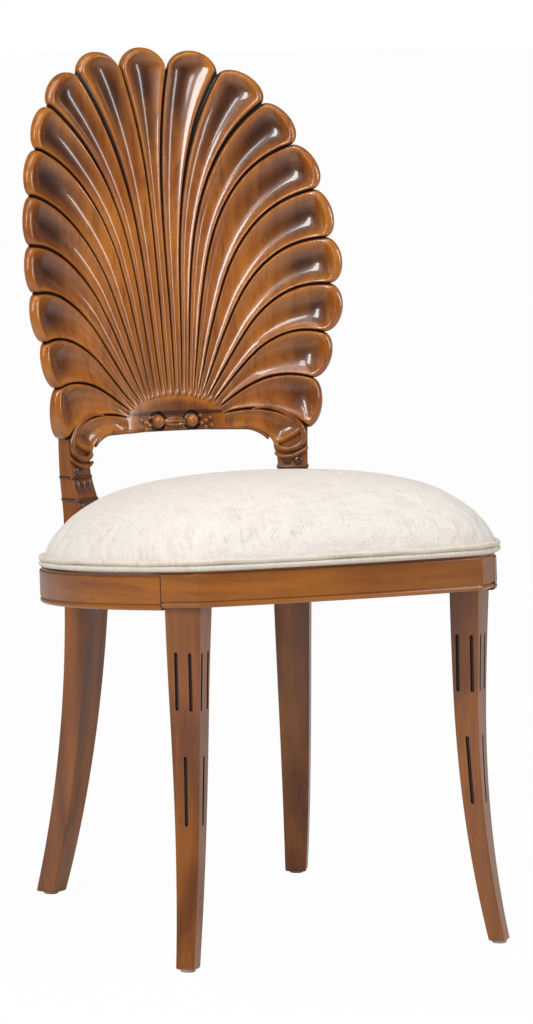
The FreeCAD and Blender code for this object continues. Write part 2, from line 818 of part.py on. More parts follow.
def seat_screws():
    screws = []
    forward = (rear_brace_centre[0] - rear_behind[0] * rear_seat_screw_shift,
               rear_brace_centre[1] - rear_behind[1] * rear_seat_screw_shift)
    for place in (front_brace_centre, forward):
        head = Vector(place[0], place[1], brace_bottom)
        screws.append(screw(head, Vector(0, 0, 1), seat_screw_length))
    return [sloped(item) for item in screws]


def both_sides(shapes):
    return shapes + [mirrored(item) for item in shapes]


def welt(number):
    """One of the two cords of the double welt, sewn round the foot of the pad."""
    low = rail_top + 0.5 + number * (welt_diameter + 0.2)
    slab = pad_slab(welt_diameter - 1.2, low, low + welt_diameter)
    rims = [edge for edge in slab.Edges if edge.BoundBox.ZLength < 0.01]
    return slab.makeFillet(welt_diameter * 0.46, rims).cut(pad_slab(-2.0, low - 1.0, low + 10.0))


def glide(x, y):
    disc = Part.makeCylinder(glide_diameter / 2.0, glide_height, Vector(x, y, 0))
    edge = [item for item in disc.Edges if item.BoundBox.ZMax < 0.01]
    disc = disc.makeFillet(glide_round, edge)
    pin = Part.makeCylinder(glide_pin_diameter / 2.0, glide_pin_length, Vector(x, y, glide_height))
    return disc.fuse(pin)


def build_legs(rear, dowel_holes, stile_holes, screws):
    for label, leg, section in (("front", front_leg(), front_leg_section),
                                ("rear", rear, rear_leg_section)):
        foot = section(glide_height)
        pad = glide(foot[0], foot[1])
        for name, side in sides.items():
            placed = for_side(leg.cut(pad), side)
            parts[label + "_leg_" + name] = cut_all(placed, dowel_holes + stile_holes + screws)
            parts["glide_" + label + "_" + name] = for_side(pad, side)


def build_frame(rear, dowel_holes, screws):
    """Front rail between the front legs; the other rails are trimmed by the rear legs."""
    outer, inner = front_rail_plan()
    rail = curved_rail(outer, inner, rail_bottom, rail_height)
    rail = sloped(rail.cut(rail_mouldings(outer, rail_top, rail_bottom)))
    parts["front_rail"] = cut_all(rail, dowel_holes)
    low = rail_bottom - side_rail_drop
    outer, inner = side_rail_plan(rail_trim)
    rail = curved_rail(outer, inner, low, rail_height)
    rail = sloped(rail.cut(rail_mouldings(outer, low + rail_height, low))).cut(rear)
    for name, side in sides.items():
        parts["side_rail_" + name] = cut_all(for_side(rail, side), dowel_holes)
    outer, inner = rear_rail_plan(rail_trim)
    rail = sloped(curved_rail(outer, inner, low, rail_height)).cut([rear, mirrored(rear)])
    parts["rear_rail"] = cut_all(rail, dowel_holes)
    parts["rail_dowels"] = Part.makeCompound(rail_dowels(rail_dowel_diameter, rail_dowel_length))
    for label, brace in (("front", sloped(front_brace())), ("rear", sloped(rear_brace()))):
        for name, side in sides.items():
            parts["corner_brace_" + label + "_" + name] = cut_all(for_side(brace, side), screws)


def build_back(stile_holes, seam_holes):
    for node, board in back_boards(carved_back()).items():
        parts[node] = cut_all(board, stile_holes + seam_holes)
    parts["stile_dowels"] = Part.makeCompound(stile_dowels(back_dowel_diameter, back_dowel_length))
    parts["back_seam_dowels"] = Part.makeCompound(seam_dowels(seam_dowel_diameter, seam_dowel_length))


def build_seat(screws):
    board = pad_slab(-board_inset, board_bottom, board_top)
    outside = pad_dome(0.0, rail_top, crown_height)
    inside = pad_dome(-cover_thickness, board_bottom, crown_height - cover_thickness)
    soft = cover_thickness + wadding_thickness
    foam = pad_dome(-soft, board_top, crown_height - soft)
    opening = pad_slab(-cover_turn_under, rail_top - 1.0, board_bottom + 1.0)
    holes = [sloped(item) for item in staples(0.1)]
    parts["seat_board"] = cut_all(cut_all(sloped(board), holes), screws)
    parts["seat_foam"] = sloped(foam)
    parts["seat_wadding"] = sloped(inside.cut([foam, board]))
    parts["seat_cover"] = cut_all(cut_all(sloped(outside.cut([inside, opening])), holes), screws)
    for number, name in enumerate(("lower", "upper")):
        parts["welt_cord_" + name] = sloped(welt(number).cut(outside))
    parts["dust_cover"] = cut_all(sloped(pad_slab(-dust_cover_inset, board_bottom - dust_cover_thickness,
                                                  board_bottom)), screws)
    parts["cover_staples"] = Part.makeCompound([sloped(item) for item in staples(0.0)])


def centred(shapes):
    """Moves the chair along Y so that its box stands centred on the origin."""
    box = Part.makeCompound(list(shapes.values())).BoundBox
    shift = Vector(0, -(box.YMin + box.YMax) / 2.0, 0)
    for shape in shapes.values():
        shape.translate(shift)
    return shift


def build():
    dowel_holes = rail_dowels(rail_dowel_diameter + 2.0 * dowel_clearance,
                              rail_dowel_length + 2.0 * dowel_clearance)
    stile_holes = stile_dowels(back_dowel_diameter + 2.0 * dowel_clearance,
                               back_dowel_length + 2.0 * dowel_clearance)
    seam_holes = seam_dowels(seam_dowel_diameter + 2.0 * dowel_clearance,
                             seam_dowel_length + 2.0 * dowel_clearance)
    frame_screws = both_sides(brace_screws())
    pad_screws = both_sides(seat_screws())
    rear = rear_leg()
    build_legs(rear, dowel_holes, stile_holes, frame_screws)
    build_frame(rear, dowel_holes, frame_screws + pad_screws)
    build_back(stile_holes, seam_holes)
    build_seat(pad_screws)
    parts["brace_screws"] = Part.makeCompound(frame_screws)
    parts["seat_screws"] = Part.makeCompound(pad_screws)


build()
moved = centred(parts)
print("moved along Y", round(moved.y, 2))
for node, shape in parts.items():
    print(node, len(shape.Solids), shape.isValid(), round(shape.Volume / 1000.0, 1))
    shape.exportStep("parts/" + node + ".step")
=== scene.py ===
import bpy
import bmesh
import math
import numpy as np
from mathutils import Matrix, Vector


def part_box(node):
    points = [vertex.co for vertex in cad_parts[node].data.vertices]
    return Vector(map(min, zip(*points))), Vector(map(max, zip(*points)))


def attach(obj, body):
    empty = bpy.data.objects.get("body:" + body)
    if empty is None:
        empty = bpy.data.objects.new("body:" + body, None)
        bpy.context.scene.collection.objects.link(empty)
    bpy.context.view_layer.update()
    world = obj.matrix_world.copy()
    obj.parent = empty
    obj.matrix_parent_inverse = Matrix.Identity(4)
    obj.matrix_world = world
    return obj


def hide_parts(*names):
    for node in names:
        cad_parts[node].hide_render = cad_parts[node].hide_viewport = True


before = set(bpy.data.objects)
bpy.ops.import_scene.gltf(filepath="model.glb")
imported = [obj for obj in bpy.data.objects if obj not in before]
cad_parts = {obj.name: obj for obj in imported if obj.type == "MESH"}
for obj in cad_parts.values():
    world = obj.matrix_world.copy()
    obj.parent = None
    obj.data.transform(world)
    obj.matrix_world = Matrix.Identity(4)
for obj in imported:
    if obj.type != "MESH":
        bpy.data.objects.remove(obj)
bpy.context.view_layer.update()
scene = bpy.context.scene
print("frame loaded,", len(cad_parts), "pieces")

# Millimetres measured from the middle of the round seat, +Z up, the chair faces -Y.
# toRow() turns them into metres in the frame's own place.
mm = 0.001

seat = {
    "height": 447.0, "railHeight": 40.0, "railThickness": 28.0, "sideDrop": 2.5,
    "slope": 4.6, "cornerX": 177.0, "cornerY": 199.0, "frontBow": 15.0,
    "halfWidth": 262.0, "widestY": -3.0, "blockWidth": 46.0, "blockTurn": 47.0,
}
rearLeg = {
    "x": 134.6, "y": 225.8, "turn": 30.0, "footOut": 28.5, "footBack": 49.0,
    "topWidth": 45.5, "topDepth": 35.7, "footWidth": 25.0, "footDepth": 26.5,
    "sweepTop": 400.0, "footHeight": 3.0, "corner": 1.8,
}


def turned(x, y, angle):
    c, s = math.cos(math.radians(angle)), math.sin(math.radians(angle))
    return x * c - y * s, x * s + y * c


def shareOf(height, top, power):
    return max(0.0, 1.0 - height / top) ** power


def rearLegAt(z):
    # centre, width and depth of the rear sabre leg at a height
    leg = rearLeg
    x = leg["x"] + leg["footOut"] * shareOf(z, leg["sweepTop"], 1.8)
    y = leg["y"] + leg["footBack"] * shareOf(z, leg["sweepTop"], 2.45)
    rise = min(1.0, z / leg["sweepTop"])
    width = leg["footWidth"] + (leg["topWidth"] - leg["footWidth"]) * rise ** 0.8
    depth = leg["footDepth"] + (leg["topDepth"] - leg["footDepth"]) * rise ** 2.2
    return x, y, width, depth


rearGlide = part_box("glide_rear_right")
shiftY = (rearGlide[0].y + rearGlide[1].y) / 2 / mm - rearLegAt(rearLeg["footHeight"])[1]


def toRow(points, tipped=False):
    p = np.array(points, float).reshape(-1, 3)
    if tipped:  # the seat frame is drawn level and tipped to the rear about its front corners
        a = math.radians(-seat["slope"])
        y, z = p[:, 1] + seat["cornerY"], p[:, 2] - seat["height"]
        p[:, 1] = y * math.cos(a) - z * math.sin(a) - seat["cornerY"]
        p[:, 2] = y * math.sin(a) + z * math.cos(a) + seat["height"]
    p[:, 1] += shiftY
    return p * mm


def smoothStep(value):
    v = np.clip(value, 0.0, 1.0)
    return v * v * (3.0 - 2.0 * v)


# Shader nodes

class Shade:
    # wraps one socket, so that shader maths reads as plain expressions
    def __init__(self, finish, socket):
        self.finish = finish
        self.socket = socket

    def math(self, operation, other=0.0, swap=False):
        pair = [other, self] if swap else [self, other]
        return self.finish.add("Math", {"operation": operation}, {0: pair[0], 1: pair[1]})

    def __add__(self, other):
        return self.math("ADD", other)

    def __sub__(self, other):
        return self.math("SUBTRACT", other)

    def __rsub__(self, other):
        return self.math("SUBTRACT", other, True)

    def __mul__(self, other):
        return self.math("MULTIPLY", other)

    def __truediv__(self, other):
        return self.math("DIVIDE", other)

    def __pow__(self, other):
        return self.math("POWER", other)

    __radd__ = __add__
    __rmul__ = __mul__

    def ramp(self, low, high, toLow=0.0, toHigh=1.0):
        return self.finish.add("MapRange", {"interpolation_type": "SMOOTHSTEP"},
                               {"Value": self, "From Min": low, "From Max": high,
                                "To Min": toLow, "To Max": toHigh})


class Finish:
    # one material and its nodes, or the nodes of another tree
    def __init__(self, name, tree=None):
        if tree is None:
            self.material = bpy.data.materials.new(name)
            self.material.use_nodes = True
            tree = self.material.node_tree
        self.tree = tree
        self.tree.nodes.clear()

    def add(self, kind, settings=None, sockets=None, out=0):
        node = self.tree.nodes.new(kind if "Node" in kind else "ShaderNode" + kind)
        for key, value in (settings or {}).items():
            setattr(node, key, value)
        for key, value in (sockets or {}).items():
            if isinstance(value, Shade):
                self.tree.links.new(value.socket, node.inputs[key])
            else:
                node.inputs[key].default_value = value
        return Shade(self, node.outputs[out]) if node.outputs else None

    def place(self):
        return self.add("TexCoord", out=3)

    def scaled(self, vector, scale):
        return self.add("Mapping", None, {"Vector": vector, "Scale": scale})

    def noise(self, vector, scale, detail=3.0, roughness=0.5, distortion=0.0):
        return self.add("TexNoise", None, {"Vector": vector, "Scale": scale, "Detail": detail,
                                           "Roughness": roughness, "Distortion": distortion})

    def mix(self, factor, low, high):
        sides = [(*c, 1.0) if isinstance(c, tuple) and len(c) == 3 else c for c in (low, high)]
        return self.add("Mix", {"data_type": "RGBA"}, {0: factor, 6: sides[0], 7: sides[1]}, out=2)

    def bump(self, height, distance, strength=1.0):
        return self.add("Bump", None, {"Height": height, "Distance": distance, "Strength": strength})

    def surface(self, colour, roughness, normal=None, **constants):
        sockets = {"Base Color": (*colour, 1.0) if isinstance(colour, tuple) else colour,
                   "Roughness": roughness}
        if normal is not None:
            sockets["Normal"] = normal
        for key, value in constants.items():
            sockets[key.replace("_", " ")] = value
        shader = self.add("BsdfPrincipled", None, sockets)
        self.add("OutputMaterial", None, {"Surface": shader})
        return self.material


def attributeOf(finish, name):
    return finish.add("Attribute", {"attribute_name": name}, out=2)


lacquer = {
    "honey": (0.27, 0.066, 0.005), "amber": (0.50, 0.165, 0.015), "umber": (0.045, 0.010, 0.004),
    "glazeAndShade": (0.006, 0.003, 0.002), "legHoney": (0.36, 0.112, 0.012), "legDark": (0.15, 0.038, 0.006),
    "railHoney": (0.43, 0.138, 0.012), "railDark": (0.22, 0.060, 0.007),
}


def woodGrain(finish, stretch, scale=60.0):
    # long streaks along the grain, with fine pores between them
    place = finish.place()
    streak = finish.noise(finish.scaled(place, stretch), scale, 5.0, 0.6, 0.4)
    pore = finish.noise(finish.scaled(place, tuple(3.5 * s for s in stretch)), scale * 3.0, 2.0)
    cloud = finish.noise(place, 9.0, 2.0)
    return place, streak, pore, cloud


def carvedLacquer():
    finish = Finish("carved honey lacquer")
    place, streak, pore, cloud = woodGrain(finish, (1.0, 1.0, 0.09))
    groove = attributeOf(finish, "groove")
    painted_shade_and_dark_tone = attributeOf(finish, "painted_shade_and_dark_tone")
    crest = attributeOf(finish, "crest")
    tone = (streak * 0.55 + cloud * 0.45).ramp(0.30, 0.70)
    wood = finish.mix(tone, lacquer["honey"], lacquer["amber"])
    wood = finish.mix(pore.ramp(0.58, 0.72) * 0.25, wood, lacquer["umber"])
    blot = finish.noise(finish.scaled(place, (1.0, 1.0, 0.5)), 38.0, 3.0)
    # painted shade in the flute bowls and over the hub, and a darker tone all over the stile carvings and
    # scrolls
    wood = finish.mix((painted_shade_and_dark_tone * (0.45 + blot * 1.1)).math("MINIMUM", 0.94), wood, lacquer["umber"])
    # painted highlight: the rim crests beside the grooves are made lighter amber
    wood = finish.mix(crest * 0.35, wood, lacquer["amber"])
    patchiness = finish.noise(place, 160.0, 3.0)
    streaks = finish.noise(finish.scaled(place, (1.0, 1.0, 0.12)), 120.0, 4.0, 0.65)
    wood = finish.mix(streaks.ramp(0.50, 0.72) * 0.45, wood, lacquer["umber"])
    # near-black in the grooves and creases: the real dark glaze together with painted shade, made patchy by
    # noise
    wood = finish.mix((groove * (0.85 + patchiness * 0.5)).math("MINIMUM", 1.0), wood, lacquer["glazeAndShade"])
    ripple = finish.noise(place, 70.0, 3.0) * 0.9 + pore * 0.12
    normal = finish.bump(ripple, 0.0009, 0.6)
    return finish.surface(wood, 0.30 + groove * 0.25 + (streak - 0.5) * 0.08, normal,
                          Coat_Weight=0.9, Coat_Roughness=0.07, Coat_IOR=1.5)


def plainLacquer(name, light, dark, stretch):
    finish = Finish(name)
    place, streak, pore, cloud = woodGrain(finish, stretch, 45.0)
    tone = (streak * 0.6 + cloud * 0.4).ramp(0.32, 0.68)
    wood = finish.mix(tone, dark, light)
    wood = finish.mix(pore.ramp(0.60, 0.74) * 0.35, wood, lacquer["umber"])
    speck = finish.noise(place, 420.0, 1.0)
    wood = finish.mix(speck.ramp(0.70, 0.76) * 0.5, wood, lacquer["umber"])
    normal = finish.bump(pore * 0.5 + cloud * 0.5, 0.0004, 0.35)
    return finish.surface(wood, 0.34 + (streak - 0.5) * 0.1, normal,
                          Coat_Weight=0.55, Coat_Roughness=0.16, Coat_IOR=1.5)


linenDetail = {"thread": 0.00075, "cream": (0.93, 0.865, 0.80), "oat": (0.60, 0.52, 0.43),
               "depth": 0.00035, "waver": 0.0011, "slubAcross": 520.0, "slubAlong": 38.0, "drape": 0.8}


def linen(name, tint=(1.0, 1.0, 1.0)):
    finish = Finish(name)
    place = finish.place()
    x, y, z = [finish.add("SeparateXYZ", None, {0: place}, out=number) for number in range(3)]
    threads = []
    for run, other in ((x, y), (y - z * linenDetail["drape"], x)):
        waver = finish.noise(finish.scaled(place, (40.0, 40.0, 40.0)), 3.0, 2.0) * linenDetail["waver"]
        wave = ((run + waver) * (2.0 * math.pi / linenDetail["thread"])).math("SINE")
        along = linenDetail["slubAlong"]
        slubPlace = finish.add("CombineXYZ", None, {0: run * linenDetail["slubAcross"], 1: other * along,
                                                    2: z * along})
        slub = finish.noise(slubPlace, 1.0, 3.0)
        threads.append((wave * 0.5 + 0.5) * (0.6 + slub * 0.8) + slub.ramp(0.35, 0.65) * 0.7 - 0.2)
    weave = (threads[0] + threads[1]) * 0.5
    fleck = finish.noise(place, 700.0, 2.0)
    cloud = finish.noise(place, 14.0, 3.0)
    cream = tuple(c * t for c, t in zip(linenDetail["cream"], tint))
    oat = tuple(c * t for c, t in zip(linenDetail["oat"], tint))
    tone = (weave * 0.55 + cloud * 0.2 + fleck * 0.35).ramp(0.10, 0.66)
    colour = finish.mix(tone, oat, cream)
    normal = finish.bump(weave, linenDetail["depth"], 0.9)
    return finish.surface(colour, 0.92, normal, Sheen_Weight=0.05, Sheen_Roughness=0.5,
                          Specular_IOR_Level=0.25)


def simpleFinish(name, colour, roughness, metallic=0.0, grain=260.0, amount=0.25):
    finish = Finish(name)
    spots = finish.noise(finish.place(), grain, 3.0)
    dark = tuple(c * (1.0 - amount) for c in colour)
    tone = finish.mix(spots.ramp(0.35, 0.65), dark, colour)
    normal = finish.bump(spots, 0.0002, 0.4)
    return finish.surface(tone, roughness + (spots - 0.5) * 0.2, normal, Metallic=metallic)


finishes = {
    "carved": carvedLacquer(),
    "leg": plainLacquer("leg lacquer", lacquer["legHoney"], lacquer["legDark"], (1.0, 1.0, 0.07)),
    "rail": plainLacquer("rail lacquer", lacquer["railHoney"], lacquer["railDark"], (0.08, 0.08, 1.0)),
    "brace": simpleFinish("stained brace wood", (0.20, 0.10, 0.05), 0.6),
    "dowel": simpleFinish("plain beech", (0.62, 0.45, 0.28), 0.6),
    "plywood": simpleFinish("raw plywood", (0.60, 0.44, 0.27), 0.7),
    "linen": linen("seat linen"),
    "welt": linen("welt linen", (0.95, 0.92, 0.86)),
    "cambric": simpleFinish("black cambric", (0.030, 0.030, 0.030), 0.9, 0.0, 900.0),
    # near-black: painted shade in the leg slots, and the real dark joint in the joint lines
    "slot": simpleFinish("dark joint and painted slot shade", (0.030, 0.014, 0.008), 0.55),
    "steel": simpleFinish("plated steel", (0.55, 0.55, 0.54), 0.35, 1.0),
    "wire": simpleFinish("steel wire", (0.62, 0.62, 0.60), 0.35, 1.0),
    "glide": simpleFinish("nickel glide", (0.50, 0.50, 0.48), 0.3, 1.0),
}
print("finishes made")


# Mesh helpers

def weld(points, faces, values, reach=0.005):
    # joins points that lie together, and drops what collapses
    keys = np.round(np.array(points) / reach).astype(np.int64)
    _, first, inverse = np.unique(keys, axis=0, return_index=True, return_inverse=True)
    inverse = inverse.reshape(-1)
    kept = []
    for face in faces:
        ring = []
        for index in face:
            index = int(inverse[index])
            if index not in ring:
                ring.append(index)
        if len(ring) > 2:
            kept.append(ring)
    return np.array(points)[first], kept, {k: np.array(v)[first] for k, v in values.items()}


def gridFaces(rows, columns, start=0, closedRows=False, closedColumns=False):
    faces = []
    for r in range(rows if closedRows else rows - 1):
        for c in range(columns if closedColumns else columns - 1):
            r2, c2 = (r + 1) % rows, (c + 1) % columns
            faces.append([start + r * columns + c, start + r * columns + c2,
                          start + r2 * columns + c2, start + r2 * columns + c])
    return faces


sideNames = {"left": -1, "right": 1}
sectionPoints = 20


def roundedSection(cx, cy, width, depth, turn, radius):
    # rectangle in plan with rounded corners
    steps = sectionPoints // 4 - 1
    corners = []
    for number, (sx, sy) in enumerate(((1, 1), (-1, 1), (-1, -1), (1, -1))):
        middle = (sx * (width / 2 - radius), sy * (depth / 2 - radius))
        for step in range(steps + 1):
            angle = math.pi / 2 * (number + step / steps)
            corners.append((middle[0] + radius * math.cos(angle), middle[1] + radius * math.sin(angle)))
    ring = []
    for x, y in corners:
        dx, dy = turned(x, y, turn)
        ring.append((cx + dx, cy + dy))
    return ring


def loftFaces(rows, columns):
    faces = gridFaces(rows, columns, closedColumns=True)
    faces.append(list(range(columns))[::-1])
    faces.append([(rows - 1) * columns + c for c in range(columns)])
    return faces


def smoothKeys(keys, count):
    # smooth in-between sections, through every key
    keys = np.array(keys, float)
    place = np.linspace(0, len(keys) - 1, count)
    padded = np.concatenate([[2 * keys[0] - keys[1]], keys, [2 * keys[-1] - keys[-2]]])
    rows = []
    for value in place:
        k = min(int(value), len(keys) - 2)
        t = value - k
        p0, p1, p2, p3 = padded[k:k + 4]
        rows.append(0.5 * (2 * p1 + (p2 - p0) * t + (2 * p0 - 5 * p1 + 4 * p2 - p3) * t * t
                           + (3 * p1 - p0 - 3 * p2 + p3) * t ** 3))
    return rows


def flipSide(points, side):
    points = np.array(points, float)
    points[:, 0] *= side
    return points


def looseMesh(name, points, faces):
    mesh = bpy.data.meshes.new(name)
    mesh.from_pydata([tuple(p) for p in points], [], faces)
    work = bmesh.new()
    work.from_mesh(mesh)
    bmesh.ops.recalc_face_normals(work, faces=work.faces)
    work.to_mesh(mesh)
    work.free()
    piece = bpy.data.objects.new(name, mesh)
    scene.collection.objects.link(piece)
    return piece


def makePiece(name, points, faces, finish, replaced=(), values=None):
    piece = looseMesh(name, points, faces)
    for key, data in (values or {}).items():
        attribute = piece.data.attributes.new(key, "FLOAT", "POINT")
        attribute.data.foreach_set("value", np.array(data, np.float32))
    piece.data.shade_smooth()
    return dress(piece, finish, replaced)


def gather(name, bodies, painted_shade_and_dark_tone=0.0):
    # several closed bodies as one carved piece; their shade values are painted shade in the creases and cuts,
    # in the near-black glaze colour, and the given darkness makes the whole piece darker
    points, faces, shade = [], [], []
    for body in bodies:
        start = sum(len(p) for p in points)
        points.append(np.array(body[0]))
        faces += [[start + i for i in face] for face in body[1]]
        shade.append(body[2])
    shade = np.concatenate(shade)
    masks = {"groove": shade, "painted_shade_and_dark_tone": np.full(len(shade), painted_shade_and_dark_tone), "crest": np.zeros(len(shade))}
    points, faces, values = weld(np.concatenate(points), faces, masks)
    return makePiece(name, toRow(points), faces, "carved", (), values)


def dress(piece, finish, replaced=()):
    if not piece.data.materials:
        piece.data.materials.append(finishes[finish])
    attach(piece, "root")
    if replaced:
        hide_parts(*replaced)
    return piece


def flattenShading(piece):
    # flat faces keep their flat shading beside rounded corners
    weighted = piece.modifiers.new("even shading", "WEIGHTED_NORMAL")
    weighted.keep_sharp = True
    weighted.weight = 80


# Carved back

shell = {
    "hubX": 62.5, "hubRise": 29.0, "hubHeight": 565.0, "bottom": 554.0,
    "frontY": 275.4, "rake": 0.1855, "rakeGrowth": 0.000084, "radius": 305.0, "thickness": 20.0,
    "rimShare": 0.15, "rimLimit": 5.0, "bowlShare": 0.16,
    "lobes": [0.50, 0.46, 0.35, 0.31, 0.29, 0.23, 0.25, 0.26, 0.24, 0.20, 0.08],
    "leaveHandle": 0.41, "arriveHandle": 0.34, "edgeLeave": 88.0, "edgeArrive": 168.0,
    "footX": 119.5, "footZ": 533.0,
    "vDepth": 2.4, "crestWidth": 2.7, "edgeRound": 5.5, "edgeDrop": 4.5, "startLift": 3.0,
    "startFade": 16.0, "edgeThick": 5.0, "thinReach": 60.0, "thinPower": 1.8, "thinAtTen": 0.35,
    "backGroove": 1.3, "backGrooveHalf": 3.5,
}
notches = [(31, 979), (92, 976), (138, 941), (164, 892), (182, 839),
           (190, 782), (190, 727), (180, 669), (165, 614), (156, 554)]
grooveStarts = [4.5, 13.0, 21.5, 27.5, 32.0, 36.5, 42.0, 50.0, 56.5, 61.0]
leavingAngles = [2, 5, 6, 10, 17, 25, 36, 42, 52, 75]
arrivingAngles = [15, 34, 54, 70, 75, 86, 95, 108, 112, 140]


def shellPoints(x, z, lift):
    # lift is the height in front of the raked, hollow reference surface
    x, z, lift = np.broadcast_arrays(np.asarray(x, float), z, lift)
    root = np.sqrt(shell["radius"] ** 2 - x * x)
    rise = z - shell["hubHeight"]
    y = (shell["frontY"] + shell["rake"] * rise + shell["rakeGrowth"] * rise * rise
         - (shell["radius"] - root))
    return np.stack([x - x / shell["radius"] * lift, y - root / shell["radius"] * lift, z], -1)


def grooveControls(index):
    number = abs(index)
    if number == 11:
        start = np.array([shell["hubX"], shell["bottom"]])
        end = np.array([shell["footX"], shell["footZ"]])
        leave, arrive = shell["edgeLeave"], shell["edgeArrive"]
    else:
        x = grooveStarts[number - 1]
        rise = shell["hubRise"] * math.sqrt(1.0 - (x / shell["hubX"]) ** 2)
        start = np.array([x, shell["hubHeight"] + rise])
        end = np.array(notches[number - 1], float)
        leave, arrive = leavingAngles[number - 1], arrivingAngles[number - 1]
    length = np.linalg.norm(end - start)
    a, b = math.radians(leave), math.radians(arrive)
    first = start + shell["leaveHandle"] * length * np.array([math.sin(a), math.cos(a)])
    second = end - shell["arriveHandle"] * length * np.array([math.sin(b), math.cos(b)])
    controls = np.array([start, first, second, end])
    if index < 0:
        controls[:, 0] *= -1.0
    return controls


def grooveLine(index, shares):
    # points at equal shares of the groove's length, and how much length is left from each
    t = np.linspace(0.0, 1.0, 240)[:, None]
    c = grooveControls(index)
    line = ((1 - t) ** 3 * c[0] + 3 * t * (1 - t) ** 2 * c[1] + 3 * t * t * (1 - t) * c[2] + t ** 3 * c[3])
    run = np.concatenate([[0.0], np.cumsum(np.linalg.norm(np.diff(line, axis=0), axis=1))])
    at = np.array(shares) * run[-1]
    points = np.stack([np.interp(at, run, line[:, k]) for k in (0, 1)], -1)
    return points, run[-1] - at


rowShares = np.concatenate([np.linspace(0.0, 0.03, 6), np.linspace(0.045, 0.78, 30),
                            1.0 - 0.21 * (1.0 - np.linspace(0.0, 1.0, 30)) ** 1.5])
halfColumns = np.array([0.0, 0.16, 0.34, 0.55, 0.78, 1.0])


def fluteGrid(left, right):
    a, restA = grooveLine(left, rowShares)
    b, restB = grooveLine(right, rowShares)
    chordVector = b[-1] - a[-1]
    chord = np.linalg.norm(chordVector)
    outward = np.array([-chordVector[1], chordVector[0]]) / chord
    openLeft, openRight = abs(left) == 11, abs(right) == 11
    lobe = shell["lobes"][max(abs(left), abs(right)) - 1 if left * right > 0 else 0]
    width = np.linalg.norm(b - a, axis=1)
    half = width / 2
    crest = np.minimum(shell["crestWidth"], 0.32 * half)
    beyond = crest[:, None] + (half - crest)[:, None] * np.array([0.10, 0.24, 0.42, 0.62, 0.82])
    side = np.concatenate([crest[:, None] * halfColumns, beyond], 1)
    w = np.concatenate([side, half[:, None], (width[:, None] - side)[:, ::-1]], 1) / width[:, None]
    share = rowShares[:, None]
    bulge = np.sqrt(np.maximum(0.0, 4 * w * (1 - w)))
    swell = lobe * chord * smoothStep((share - 0.5) / 0.5)
    x = a[:, :1] + (b - a)[:, :1] * w + outward[0] * swell * bulge
    z = a[:, 1:] + (b - a)[:, 1:] * w + outward[1] * swell * bulge
    rest = (1 - w) * restA[:, None] + w * restB[:, None] + (lobe * chord - swell) * bulge
    fromSide = np.minimum(w, 1 - w) * width[:, None]
    rim = np.minimum(shell["rimLimit"], shell["rimShare"] * width)[:, None]
    depth = (shell["bowlShare"] * width * (0.85 + 0.35 * smoothStep((rowShares - 0.5) / 0.4)))[:, None]
    q = np.clip(fromSide / crest[:, None], 0, 1)
    vee = (1 - q) ** 2
    if openLeft:
        vee = np.where(w < 0.5, 0.0, vee)
    if openRight:
        vee = np.where(w > 0.5, 0.0, vee)
    inSide = np.clip((fromSide - crest[:, None]) / (half - crest)[:, None], 0, 1)
    reach = 0.52 * chord
    inEnd = np.clip((rest - shell["edgeRound"]) / (reach - shell["edgeRound"]), 0, 1.6)
    inside = np.clip(-np.log(np.exp(-7 * inSide) + np.exp(-7 * inEnd)) / 7, 0, 1)
    bowl = 1 - (1 - inside) ** 2
    edge = np.clip(1 - rest / shell["edgeRound"], 0, 1) ** 2
    if openLeft or openRight:
        openSide = np.where((w < 0.5) == openLeft, fromSide, 1e3)
        edge = np.maximum(edge, np.clip(1 - openSide / shell["edgeRound"], 0, 1) ** 2)
    fade = smoothStep((restA[0] - restA)[:, None] / shell["startFade"])
    relief = rim - (rim + shell["vDepth"]) * vee - depth * bowl
    lift = fade * relief + (1 - fade) * shell["startLift"] - shell["edgeDrop"] * edge
    # dark down the V grooves: real glaze together with painted shade
    groove = np.clip((vee - 0.10) / 0.45, 0, 1) * smoothStep((share - 0.01) / 0.05)
    # painted shade inside the bowls, deepest toward the tips and a little near the hub
    tipShade = bowl * smoothStep((share - 0.60) / 0.30)
    painted_shade_and_dark_tone = np.maximum(tipShade, 0.55 * bowl * (1 - smoothStep(share / 0.35)))
    # painted highlight along the rim crests beside each groove
    crestHighlight = np.clip(1 - np.abs(q - 0.95) * 3, 0, 1) * (fromSide < 2 * crest[:, None])
    ends = [{10: shell["thinAtTen"], 11: 0.0}.get(abs(number), 1.0) for number in (left, right)]
    thin = ((shell["thickness"] - shell["edgeThick"]) * (ends[0] * (1 - w) + ends[1] * w)
            * np.clip(1 - rest / shell["thinReach"], 0, 1) ** shell["thinPower"])
    backVee = np.clip(1 - fromSide / shell["backGrooveHalf"], 0, 1) ** 2
    back = -shell["thickness"] + thin + shell["backGroove"] * backVee
    return x, z, lift, back, {"groove": groove, "painted_shade_and_dark_tone": painted_shade_and_dark_tone, "crest": crestHighlight}


